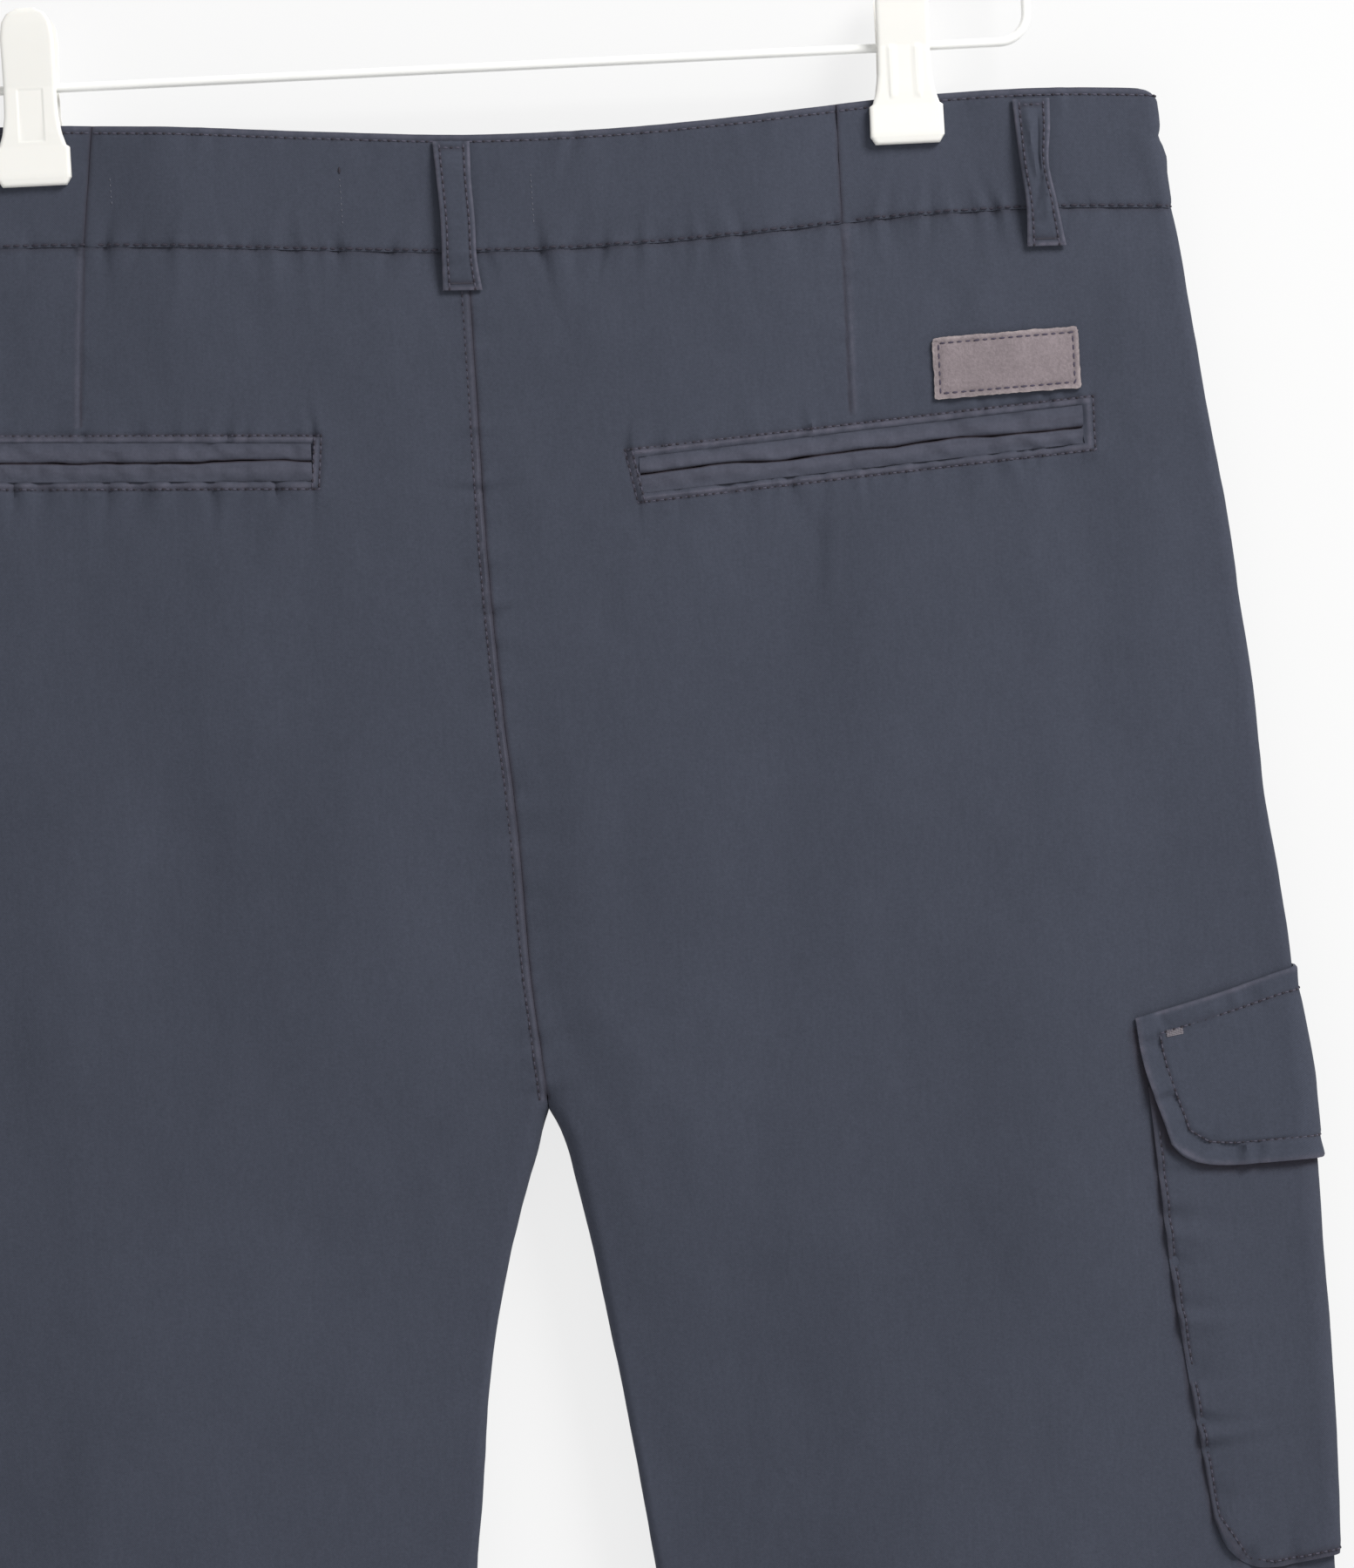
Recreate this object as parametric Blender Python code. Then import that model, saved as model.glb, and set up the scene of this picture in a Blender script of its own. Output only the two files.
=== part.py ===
"""Cargo shorts hanging on a wire clip hanger, as closed solids for each sewn or moulded piece.

The origin is the inside top of the hanger's hook, +Z is up, -Y is the side that the garment's back
faces, and +X is the wearer's right. Sizes are in millimetres, and MM turns them into metres.

The cloth is one surface, skin(side, around, down). `side` is +1 for the right half and -1 for the
left. `around` runs from 0 at the centre back, or at the inseam below the fork, to 1 at the outer
fold, and on to 2 at the centre front. `down` is the distance below the waist's top edge at the
centre back. Every sewn piece is a stretch of that surface, moved out along its normal.
"""

import math
from collections import namedtuple

import bmesh
import bpy
import numpy as np

MM = 0.001
MERGE = 1e-6  # metres: points nearer than this are one

# ---------------------------------------------------------------- driving dimensions

SEAM_GAP = 0.3  # between two pieces that are sewn together or touch
HALF_GAP = SEAM_GAP / 2
LAY_GAP = 0.5  # under a piece that lies on a curved panel

PANEL_WALL = 1.2  # twill, with its seam allowances pressed flat
BAND_WALL = 2.4  # waistband, folded double over its stiffener
BAND_PROUD = 0.6  # how far the waistband stands out from the panels
BAND_INSIDE = BAND_PROUD - BAND_WALL
LOOP_WALL = 1.4
FLAP_WALL = 1.4
POUCH_WALL = 1.2
PATCH_WALL = 1.2

BAND_HEIGHT = 40.0
FORK = 332.0  # crotch point
FORK_ROUND = 12.0  # height over which the seat seam turns under into the fork
OUTSEAM = 548.0
HEM_HEIGHT = 27.0

FOLD_RADIUS = 3.4  # how sharply the cloth turns at its outer and inner folds
QUARTER = FOLD_RADIUS * math.pi / 2
FULL_FROM, FULL_TO = 180.0, 430.0  # the seat's one hollow becomes two legs between these
SIDE_SEAM = 24.0  # the side seam lies this far round on the front
FRONT_DIP = 8.0  # the front waist hangs lower than the back at its centre
DIP_EASE = 0.3  # share of `around` over which the dip sets in, past the outer fold

BAR_BELOW_HOOK = 170.0
WAIST_BELOW_BAR = 23.6
WAIST_TOP_Z = -(BAR_BELOW_HOOK + WAIST_BELOW_BAR)

WIRE = 3.2
CLIP_X = 148.5
CLIP_CLOTH = 2.3  # half the pinched cloth's thickness, at the panels' surface
CLIP_PLATEAU, CLIP_FADE = 14.5, 34.0
PINCH_DOWN, PINCH_FADE = 13.0, 70.0

# Shares of `around` given to the inner fold and to the outer fold, and the columns that turn them.
INNER_SHARE, OUTER_SHARE = 0.08, 0.08
INNER_FOLD_TURNS = (0.0, 0.3, 0.62, 1.0)
FRONT_COLUMNS = 9  # across the flat of a front panel
OUTER_FOLD_TURNS = (-1.0, -0.66, -0.33, 0.0, 0.5, 1.0)

# ---------------------------------------------------------------- tables

Section = namedtuple("Section", "down left right centre depth")
SECTIONS = (
    Section(-14, -238.6, 232.0, -3.4, 8.6),
    Section(0, -239.2, 233.0, -3.0, 9.0),
    Section(40, -242.4, 237.3, -2.6, 10.0),
    Section(90, -246.6, 243.4, -1.8, 11.4),
    Section(144, -250.0, 250.8, -0.8, 12.4),
    Section(197, -251.4, 255.7, 2.0, 12.8),
    Section(233, -251.8, 258.9, 4.7, 12.8),
    Section(287, -252.2, 265.0, 6.8, 12.6),
    Section(332, -252.6, 267.0, 10.5, 12.4),
    Section(376, -253.2, 268.6, 9.4, 12.2),
    Section(430, -253.8, 269.8, 8.4, 12.0),
    Section(483, -254.2, 270.8, 8.4, 11.6),
    Section(548, -254.6, 271.6, 8.8, 11.0),
)

InnerEdge = namedtuple("InnerEdge", "down right left")
INNER_EDGES = (
    InnerEdge(332, 10.65, 10.35),
    InnerEdge(338, 13.6, 8.2),
    InnerEdge(345, 16.1, 6.4),
    InnerEdge(357, 18.8, 2.3),
    InnerEdge(369, 21.3, -1.5),
    InnerEdge(393, 25.5, -8.1),
    InnerEdge(429, 31.1, -14.7),
    InnerEdge(465, 36.2, -18.6),
    InnerEdge(488, 39.3, -21.7),
    InnerEdge(548, 46.5, -29.0),
)

# The waist's top edge is pulled up at the two clips.
WaistLine = namedtuple("WaistLine", "across rise")
WAIST_LINE = (
    WaistLine(-240, -9.0),
    WaistLine(-190, -10.6),
    WaistLine(-148, -10.8),
    WaistLine(-105, -8.1),
    WaistLine(-52, -3.6),
    WaistLine(0, 0.0),
    WaistLine(55, 0.0),
    WaistLine(90, -1.8),
    WaistLine(149, -6.5),
    WaistLine(205, -6.6),
    WaistLine(240, -4.6),
)
RISE_FADE = 170.0

# Large soft folds: a ridge (or, with a negative height, a trough) between two places.
Fold = namedtuple("Fold", "across_a down_a across_b down_b width height")
BACK_FOLDS = (
    Fold(21, 160, 26, 300, 15, 1.0),
    Fold(32, 330, 62, 440, 20, 1.3),
    Fold(188, 165, 186, 246, 20, 1.2),
    Fold(204, 130, 202, 205, 13, -1.1),
    Fold(233, 122, 234, 152, 10, 0.9),
    Fold(108, 140, 97, 212, 14, -1.0),
    Fold(150, 260, 128, 400, 26, -1.2),
    Fold(196, 300, 176, 520, 24, 1.4),
    Fold(88, 400, 96, 530, 18, -1.2),
    Fold(-56, 215, -58, 250, 22, 1.1),
    Fold(-118, 198, -124, 290, 22, -1.3),
    Fold(-62, 330, -58, 372, 24, -1.2),
    Fold(-152, 215, -143, 450, 20, 1.4),
    Fold(-204, 160, -214, 280, 18, -1.1),
    Fold(-34, 400, -46, 520, 18, -1.1),
    Fold(-96, 420, -104, 530, 20, 1.0),
)
FRONT_FOLDS = (
    Fold(96, 110, 128, 300, 20, -1.3),
    Fold(40, 200, 60, 330, 18, 1.2),
    Fold(168, 240, 150, 520, 24, 1.4),
    Fold(90, 380, 96, 520, 20, -1.2),
    Fold(-88, 120, -120, 290, 20, -1.3),
    Fold(-30, 210, -48, 330, 18, 1.2),
    Fold(-150, 250, -132, 520, 24, 1.4),
    Fold(-72, 390, -80, 520, 20, -1.2),
)
FOLD_END = 30.0  # length over which each fold dies out at its ends
FOLD_CLEAR, FOLD_EDGE = 30.0, 9.0  # folds die out over this much, and this near to the outer fold

# Back pockets: the slit runs from its inner end to its outer end.
BackPocket = namedtuple("BackPocket", "side inner_x inner_down outer_x outer_down")
BACK_POCKETS = (
    BackPocket(+1, 52.0, 118.4, 203.2, 108.0),
    BackPocket(-1, -58.6, 108.6, -209.0, 101.2),
)
WINDOW_HALF = 6.2  # half the height of the window that the welts fill
WELT_SLIT = 0.9  # gap between the two lips
WINDOW_COLUMNS = 6
WELT_COLUMNS = 13
WeltRow = namedtuple("WeltRow", "offset lift")  # a lip rolls in at the slit
WELT_ROWS = (
    WeltRow(WELT_SLIT / 2, -0.5),
    WeltRow(WELT_SLIT / 2 + 0.8, 0.1),
    WeltRow(WINDOW_HALF - SEAM_GAP, 0.0),
)

BandRow = namedtuple("BandRow", "down lift")
BAND_ROWS = (
    BandRow(0.0, BAND_PROUD - 0.5),
    BandRow(2.5, BAND_PROUD),
    BandRow(14.0, BAND_PROUD),
    BandRow(27.0, BAND_PROUD),
    BandRow(BAND_HEIGHT - HALF_GAP, BAND_PROUD - 0.2),
)
BAND_CENTRE_COLUMNS = 17
# The waistband's pieced seams, in line with the darts; the left one leans out by this much.
BAND_SEAM_RIGHT, BAND_SEAM_LEFT, BAND_SEAM_LEAN = 124.8, -128.5, -4.4
# Columns of the waistband's side pieces, with one on each side of the clip and one under it.
BAND_STOPS = (222.0, 202.0, 181.0, 163.2, 148.5, 133.8, 117.0, 97.0, 74.0, 50.0, 26.0)
BAND_FOLD_TURNS = (-1.0, -0.66, -0.33, 0.0, 0.33, 0.66, 1.0)
BAND_ENDS = {"left": 1.2, "right": 8.6}  # the side pieces end this far from the centre front

# Rows of the panels: `slant` is the share of the back pocket's slope that a row follows, so that
# the rows beside the pocket run along it.
PanelRow = namedtuple("PanelRow", "down slant")
UPPER_ROWS = (PanelRow(BAND_HEIGHT + HALF_GAP, 0.0), PanelRow(62, 0.3), PanelRow(86, 0.7))
LOWER_ROWS = (
    PanelRow(150, 0.6),
    PanelRow(182, 0.2),
    PanelRow(214, 0.0),
    PanelRow(246, 0.0),
    PanelRow(278, 0.0),
    PanelRow(304, 0.0),
    PanelRow(FORK - FORK_ROUND, 0.0),
    PanelRow(FORK - 0.55 * FORK_ROUND, 0.0),
    PanelRow(FORK - 0.2 * FORK_ROUND, 0.0),
    PanelRow(FORK, 0.0),
    PanelRow(344, 0.0),
    PanelRow(366, 0.0),
    PanelRow(394, 0.0),
    PanelRow(426, 0.0),
    PanelRow(460, 0.0),
    PanelRow(492, 0.0),
    PanelRow(OUTSEAM - HEM_HEIGHT, 0.0),
    PanelRow(OUTSEAM, 0.0),
)

# Belt loops on the back (-1) or the front (+1): the x and the height of each loop's two ends.
BeltLoop = namedtuple("BeltLoop", "name face top_x bottom_x top bottom width")
BELT_LOOPS = (
    BeltLoop("loop_back_centre", -1, -6.4, -4.9, 2.4, 53.0, 12.8),
    BeltLoop("loop_back_right", -1, 190.9, 193.6, 3.6, 52.4, 12.4),
    BeltLoop("loop_back_left", -1, -196.0, -198.4, 3.6, 56.0, 12.4),
    BeltLoop("loop_front_right", 1, 100.0, 101.5, 3.0, 53.0, 12.4),
    BeltLoop("loop_front_left", 1, -106.0, -107.5, 3.0, 53.0, 12.4),
)
LOOP_BOW, LOOP_BOW_POWER = 1.3, 0.7  # a loop stands off by this much at its middle, and how fully
LOOP_TACK = 0.065  # share of its length that is sewn down at each end
LOOP_ROWS = (0.0, 0.06, 0.16, 0.3, 0.5, 0.7, 0.84, 0.93, 1.0)
LOOP_COLUMNS = (-0.5, -0.28, 0.28, 0.5)
LOOP_EDGE_DROP = 0.25

PATCH_LEFT, PATCH_RIGHT = 153.2, 203.0
PATCH_TOP, PATCH_BOTTOM, PATCH_FALL = 76.6, 97.6, -0.04

# Cargo pocket, laid out by `turn`, the distance round from the outer fold: back of it is negative.
# It is centred on the side seam.
CargoLine = namedtuple("CargoLine", "turn flap_top flap_bottom pouch_bottom")
CARGO_LINES = (
    CargoLine(-60, 311.0, 362.2, 500.0),
    CargoLine(-30, 303.6, 361.6, 499.6),
    CargoLine(0, 295.2, 360.6, 495.6),
    CargoLine(50, 286.5, 354.0, 488.0),
    CargoLine(110, 281.0, 346.0, 480.0),
)
POUCH_TOP_BELOW_FLAP_TOP = 24.0
CargoEdge = namedtuple("CargoEdge", "share flap pouch")  # half widths from top (0) to bottom (1)
CARGO_EDGES = (
    CargoEdge(0.0, 81.5, 79.0),
    CargoEdge(0.35, 80.2, 77.0),
    CargoEdge(1.0, 73.4, 67.5),
)
Corner = namedtuple("Corner", "inwards flap pouch")  # how far the bottom edge rises at its corner
CORNERS = (
    Corner(0.0, 8.4, 19.0),
    Corner(3.0, 4.8, 10.0),
    Corner(6.0, 2.8, 6.0),
    Corner(12.0, 0.9, 1.8),
    Corner(20.0, 0.0, 0.2),
    Corner(30.0, 0.0, 0.0),
)
POUCH_PUFF = 1.0  # how far out the pouch stands in its middle
PUFF_EASE = 12.0  # distance in from its sides over which the puff sets in
PUFF_FROM_TOP, PUFF_FROM_FOOT = 0.25, 0.12  # shares of its height over which it sets in
FLAP_LIFT, FLAP_RISE = 2.8, 40.0  # below its seam the flap rises this far out, over this height
FLAP_EDGE_DROP = 0.6
POUCH_ROWS = (0.0, 0.2, 0.45, 0.7, 0.88, 0.96, 1.0)
FLAP_ROWS = (0.0, 0.2, 0.45, 0.7, 0.9, 1.0)
# Columns between a cargo piece's edges and the outer fold, as shares of the way from its back edge,
# and of the way from its front edge.
CARGO_BACK_SHARES = (0.0, 0.07, 0.22, 0.6)
CARGO_FRONT_SHARES = (0.8, 0.6, 0.4, 0.2, 0.1, 0.04, 0.0)

# Clip levers, from their domed tops to the jaw's lower edge; down is below the waist's top.
LeverRow = namedtuple("LeverRow", "down half_width inside wall")
LEVER_ROWS = (
    LeverRow(-50.2, 3.4, 8.6, 1.5),
    LeverRow(-48.6, 6.3, 8.4, 2.0),
    LeverRow(-45.4, 8.3, 8.0, 2.3),
    LeverRow(-40.0, 9.0, 7.3, 2.5),
    LeverRow(-31.0, 8.9, 5.9, 2.6),
    LeverRow(-23.6, 8.9, 4.6, 2.6),
    LeverRow(-14.0, 9.3, 4.0, 2.8),
    LeverRow(-8.0, 10.3, 3.7, 3.0),
    LeverRow(-4.6, 11.2, 3.4, 3.0),
    LeverRow(-3.9, 12.7, 3.2, 3.2),
    LeverRow(7.6, 12.7, 3.2, 3.4),
    LeverRow(9.8, 11.0, 3.4, 2.6),
)
LEVER_COLUMNS = (-1.0, -0.84, -0.3, 0.3, 0.84, 1.0)
LEVER_EDGE_DROP = 0.7  # the lever's outer face is crowned by this much

SLEEVE_HALF_LENGTH, SLEEVE_RADIUS, SLEEVE_CORNER = 6.0, 4.2, 0.6
SLEEVE_BORE = WIRE / 2 + SEAM_GAP

FRAME_HALF = 191.0
FRAME_CORNER = 9.5
POST_HEIGHT = 46.0
NECK_BELOW_HOOK = 78.0
NECK_HALF = 9.0
HOOK_RADIUS = 20.6  # of the wire's centre line
HOOK_FROM, HOOK_TO, HOOK_STEPS = -55.0, 205.0, 22  # degrees of its arc, from the stem to the tip
HOOK_BEND = 10.0  # radius of the bend between the stem and the arc
COLLAR_RADIUS, COLLAR_HEIGHT = 4.6, 12.0
COLLAR_TAPER, COLLAR_TAPER_HEIGHT = 1.6, 2.5  # at its top

BUTTON_RADIUS, BUTTON_WALL = 8.5, 2.2
TAB_STOPS = (8.0, 20.0, 31.0)  # the waistband's left end laps this far over its right end
TAB_RISE = BAND_WALL + 2 * SEAM_GAP  # how far out the lapping end lies
BUTTON_FROM_TAB_END = 13.0
BUTTON_RIM, BUTTON_DISH, BUTTON_CLEAR = 1.4, 0.7, 0.7
BUTTON_CORNER, BUTTON_SLOPE = 0.6, 1.0  # height of its rounded edge, and width of the dish's slope

Paint = namedtuple("Paint", "colour roughness")
PAINTS = {
    "twill": Paint((0.063, 0.070, 0.094), 0.88),
    "flap_twill": Paint((0.067, 0.074, 0.098), 0.88),
    "suede": Paint((0.262, 0.216, 0.231), 0.9),
    "clip_plastic": Paint((0.91, 0.90, 0.87), 0.45),
    "wire_coating": Paint((0.88, 0.88, 0.86), 0.4),
    "button": Paint((0.05, 0.055, 0.075), 0.4),
}

# ---------------------------------------------------------------- small helpers


def read(rows, column, at):
    """A named column of a table at places along its first column, on a smooth curve."""
    keys = np.array([row[0] for row in rows], float)
    values = np.array([getattr(row, column) for row in rows], float)
    at = np.clip(np.asarray(at, float), keys[0], keys[-1])
    slopes = np.gradient(values, keys)
    row = np.clip(np.searchsorted(keys, at) - 1, 0, len(keys) - 2)
    step = keys[row + 1] - keys[row]
    t = (at - keys[row]) / step
    rise = values[row + 1] - values[row]
    ends = (1 - t) * step * slopes[row] - t * step * slopes[row + 1]
    return values[row] + t * t * (3 - 2 * t) * rise + t * (1 - t) * ends


def smooth(t):
    """0 below 0, 1 above 1, and an eased step between."""
    t = np.clip(t, 0.0, 1.0)
    return t * t * (3 - 2 * t)


def mix(a, b, share):
    return a + (b - a) * share


# ---------------------------------------------------------------- the cloth's surface


def edges(side, down):
    """The x of one half's inner edge (the centre seam above the fork) and of its outer fold."""
    centre = read(SECTIONS, "centre", down)
    word = "right" if side > 0 else "left"
    outer = read(SECTIONS, word, down)
    inseam = read(INNER_EDGES, word, down)
    inner = np.where(down < FORK, centre + side * HALF_GAP, inseam)
    return inner, outer


def fold_height(face, across, down):
    """How far the large folds lift the cloth at a place on the back or on the front."""
    height = np.zeros(np.broadcast(across, down).shape)
    for fold in BACK_FOLDS if face < 0 else FRONT_FOLDS:
        length = math.hypot(fold.across_b - fold.across_a, fold.down_b - fold.down_a)
        unit = ((fold.across_b - fold.across_a) / length, (fold.down_b - fold.down_a) / length)
        along = (across - fold.across_a) * unit[0] + (down - fold.down_a) * unit[1]
        beside = (across - fold.across_a) * unit[1] - (down - fold.down_a) * unit[0]
        ends = smooth(along / FOLD_END + 1) * smooth((length - along) / FOLD_END + 1)
        height = height + fold.height * np.exp(-((beside / fold.width) ** 2)) * ends
    return height


def pinch(across, down):
    """1 where a clip holds the waistband flat, falling to 0 away from it."""
    beside = np.abs(np.abs(across) - CLIP_X) - CLIP_PLATEAU
    return smooth(1 - beside / CLIP_FADE) * smooth(1 - (down - PINCH_DOWN) / PINCH_FADE)


def depth_at(side, face, across, down):
    """Half the garment's depth at a place, leaving out the rounding at its folds."""
    inner, outer = edges(side, down)
    full = read(SECTIONS, "depth", down)
    legs = smooth((down - FULL_FROM) / (FULL_TO - FULL_FROM))
    inner_round = FOLD_RADIUS + (full - FOLD_RADIUS) * (1 - legs)
    start = inner + side * inner_round
    end = outer - side * FOLD_RADIUS
    seat = np.clip((across - inner) / (end - inner), 0, 1)
    leg = np.clip((across - (start + end) / 2) / (np.abs(end - start) / 2), -1, 1)
    crown = (1 - legs) * (1 - seat**2) ** 1.5 + legs * (1 - leg**2) ** 1.5
    depth = FOLD_RADIUS + (full - FOLD_RADIUS) * crown
    depth = depth + (CLIP_CLOTH - depth) * pinch(across, down)
    clear = smooth((np.abs(outer - across) - FOLD_EDGE) / FOLD_CLEAR)
    return depth + fold_height(face, across, down) * clear


def section(side, around, down):
    """x and y of the cloth's outer face at one height, before the seams are parted."""
    around, down = np.broadcast_arrays(np.asarray(around, float), np.asarray(down, float))
    share = np.where(around <= 1, around, 2 - around)
    inner, outer = edges(side, down)
    full = read(SECTIONS, "depth", down)
    legs = smooth((down - FULL_FROM) / (FULL_TO - FULL_FROM))
    inner_round = FOLD_RADIUS + (full - FOLD_RADIUS) * (1 - legs)
    start = inner + side * inner_round
    end = outer - side * FOLD_RADIUS

    turned = np.clip((down - FORK + FORK_ROUND) / FORK_ROUND, 1e-3, 1.0)
    first = np.arccos(turned)
    sweep = first + np.clip(share / INNER_SHARE, 0, 1) * (math.pi / 2 - first)
    x_inner = inner + side * inner_round * (turned - np.cos(sweep)) / turned
    flat = np.clip((share - INNER_SHARE) / (1 - OUTER_SHARE - INNER_SHARE), 0, 1)
    x_flat = mix(start, end, flat)
    turn = np.clip((1 - share) / OUTER_SHARE, 0, 1) * math.pi / 2
    x_outer = outer - side * FOLD_RADIUS * (1 - np.cos(turn))

    x = np.where(share < INNER_SHARE, x_inner, np.where(share > 1 - OUTER_SHARE, x_outer, x_flat))
    dip = np.where(share < INNER_SHARE, np.sin(sweep), np.where(share > 1 - OUTER_SHARE, np.sin(turn), 1))
    back = depth_at(side, -1, x, down)
    front = depth_at(side, 1, x, down)
    y = np.where(around <= 1, -back, front) * dip
    return x, y


def raised(across, down):
    """How far the clips move a place up (negative) from its nominal height."""
    return read(WAIST_LINE, "rise", across) * (1 - smooth(down / RISE_FADE))


def drop(around, across, down):
    """Real height below the waist, once the clips have pulled the waist line up."""
    fade = 1 - smooth(down / RISE_FADE)
    dip = FRONT_DIP * np.clip(1 - (across / CLIP_X) ** 2, 0, 1) * smooth((around - 1) / DIP_EASE)
    return down + raised(across, down) + dip * fade


def skin(side, around, down, lift=0.0):
    """Points of the cloth's surface in metres, moved `lift` mm out along the section's normal."""
    around, down, lift = np.broadcast_arrays(*(np.asarray(v, float) for v in (around, down, lift)))
    around = np.clip(around, 0, 2)
    step = 1e-4
    ahead = section(side, np.clip(around + step, 0, 2), down)
    behind = section(side, np.clip(around - step, 0, 2), down)
    run, rise = ahead[0] - behind[0], ahead[1] - behind[1]
    length = np.maximum(np.hypot(run, rise), 1e-9)
    x, y = section(side, around, down)
    parted = np.maximum(np.abs(y), HALF_GAP) * np.where(around <= 1, -1, 1)
    return np.stack(
        [
            (x + side * rise / length * lift) * MM,
            (parted - side * run / length * lift) * MM,
            (WAIST_TOP_Z - drop(around, x, down)) * MM,
        ],
        axis=-1,
    )


def around_at(side, face, across, down):
    """`around` of a place that is given by its x, on the flat of the back (-1) or front (+1)."""
    inner, outer = edges(side, down)
    full = read(SECTIONS, "depth", down)
    legs = smooth((down - FULL_FROM) / (FULL_TO - FULL_FROM))
    start = inner + side * (FOLD_RADIUS + (full - FOLD_RADIUS) * (1 - legs))
    end = outer - side * FOLD_RADIUS
    in_seat = INNER_SHARE * (across - inner) / (start - inner)
    on_flat = INNER_SHARE + (1 - OUTER_SHARE - INNER_SHARE) * (across - start) / (end - start)
    share = np.where((across - start) * side < 0, in_seat, on_flat)
    return share if face < 0 else 2 - share


def around_from_fold(side, turn, down):
    """`around` of a place given by its distance round from the outer fold; back is negative."""
    _, outer = edges(side, down)
    beyond = np.maximum(np.abs(turn) - QUARTER, 0)
    across = outer - side * (FOLD_RADIUS + beyond)
    on_fold = 1 - OUTER_SHARE * np.abs(turn) / QUARTER
    share = np.where(np.abs(turn) < QUARTER, on_fold, around_at(side, -1, across, down))
    return np.where(np.asarray(turn) < 0, share, 2 - share)


def nominal(across, down):
    """`down` of a place whose real height below the waist is given."""
    guess = np.asarray(down, float)
    for _ in range(6):
        guess = down - raised(across, guess)
    return guess


def on_face(face, across, down, lift):
    """A point given by its x and real height, on the back (-1) or front (+1), moved out."""
    across, down, lift = np.broadcast_arrays(*(np.asarray(v, float) for v in (across, down, lift)))
    level = nominal(across, down)
    centre = read(SECTIONS, "centre", level)
    right = skin(1, around_at(1, face, across, level), level, lift)
    left = skin(-1, around_at(-1, face, across, level), level, lift)
    return np.where((across > centre)[..., None], right, left)


# ---------------------------------------------------------------- making solids


def paint(name):
    material = bpy.data.materials.get(name) or bpy.data.materials.new(name)
    material.use_nodes = True
    shader = material.node_tree.nodes["Principled BSDF"]
    shader.inputs["Base Color"].default_value = (*PAINTS[name].colour, 1)
    shader.inputs["Roughness"].default_value = PAINTS[name].roughness
    return material


def place(mesh, name, material, smooth_angle=40):
    mesh.materials.append(paint(material))
    mesh.shade_smooth()
    mesh.set_sharp_from_angle(angle=math.radians(smooth_angle))
    piece = bpy.data.objects.new(name, mesh)
    bpy.context.scene.collection.objects.link(piece)
    return piece


def wall(name, material, outside, inside, openings=()):
    """A closed wall between two grids of points; `openings` are (row, column) cells left out."""
    rows, columns = outside.shape[:2]
    points = np.concatenate([outside.reshape(-1, 3), inside.reshape(-1, 3)])
    under = rows * columns
    cells = {(i, j) for i in range(rows - 1) for j in range(columns - 1)} - set(openings)
    faces = []
    for i, j in sorted(cells):
        a, b = i * columns + j, i * columns + j + 1
        c, d = a + columns, b + columns
        faces.append((a, b, d, c))
        faces.append((a + under, c + under, d + under, b + under))
        sides = {(i - 1, j): (a, b), (i, j + 1): (b, d), (i + 1, j): (d, c), (i, j - 1): (c, a)}
        for beside, (p, q) in sides.items():
            if beside not in cells:
                faces.append((q, p, p + under, q + under))
    mesh = bpy.data.meshes.new(name)
    mesh.from_pydata([tuple(p) for p in points], [], faces)
    close(mesh)
    return place(mesh, name, material)


def close(mesh):
    """Drops unused points, merges double ones, and makes a closed mesh's faces point out."""
    build = bmesh.new()
    build.from_mesh(mesh)
    bmesh.ops.delete(build, geom=[v for v in build.verts if not v.link_faces], context="VERTS")
    bmesh.ops.remove_doubles(build, verts=build.verts, dist=MERGE)
    bmesh.ops.recalc_face_normals(build, faces=build.faces)
    build.to_mesh(mesh)
    build.free()


def tube(name, material, points, radius, closed=False, sides=2):
    """A round wire along points in metres."""
    curve = bpy.data.curves.new(name, "CURVE")
    curve.dimensions = "3D"
    curve.bevel_depth = radius * MM
    curve.bevel_resolution = sides
    curve.use_fill_caps = not closed
    spline = curve.splines.new("POLY")
    spline.points.add(len(points) - 1)
    for knot, point in zip(spline.points, points):
        knot.co = (*point, 1)
    spline.use_cyclic_u = closed
    curve.materials.append(paint(material))
    piece = bpy.data.objects.new(name, curve)
    bpy.context.scene.collection.objects.link(piece)
    return piece


def rounded(corners, radius, closed, steps=5):
    """Corners in the XZ plane, joined by straight runs, each corner turned with an arc."""
    path = []
    count = len(corners)
    for k, corner in enumerate(corners):
        if not closed and k in (0, count - 1):
            path.append(corner)
            continue
        before, after = np.array(corners[k - 1]) - corner, np.array(corners[(k + 1) % count]) - corner
        before, after = before / np.hypot(*before), after / np.hypot(*after)
        half = math.acos(np.clip(before @ after, -1, 1)) / 2
        bisector = (before + after) / np.hypot(*(before + after))
        centre = np.array(corner) + bisector * radius / math.sin(half)
        first = np.array(corner) + before * radius / math.tan(half) - centre
        last = np.array(corner) + after * radius / math.tan(half) - centre
        turn = math.atan2(first[0] * last[1] - first[1] * last[0], first @ last)
        for s in range(steps + 1):
            angle = turn * s / steps
            cos, sin = math.cos(angle), math.sin(angle)
            path.append(centre + (first[0] * cos - first[1] * sin, first[0] * sin + first[1] * cos))
    return [(p[0] * MM, 0.0, p[1] * MM) for p in path]


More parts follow.
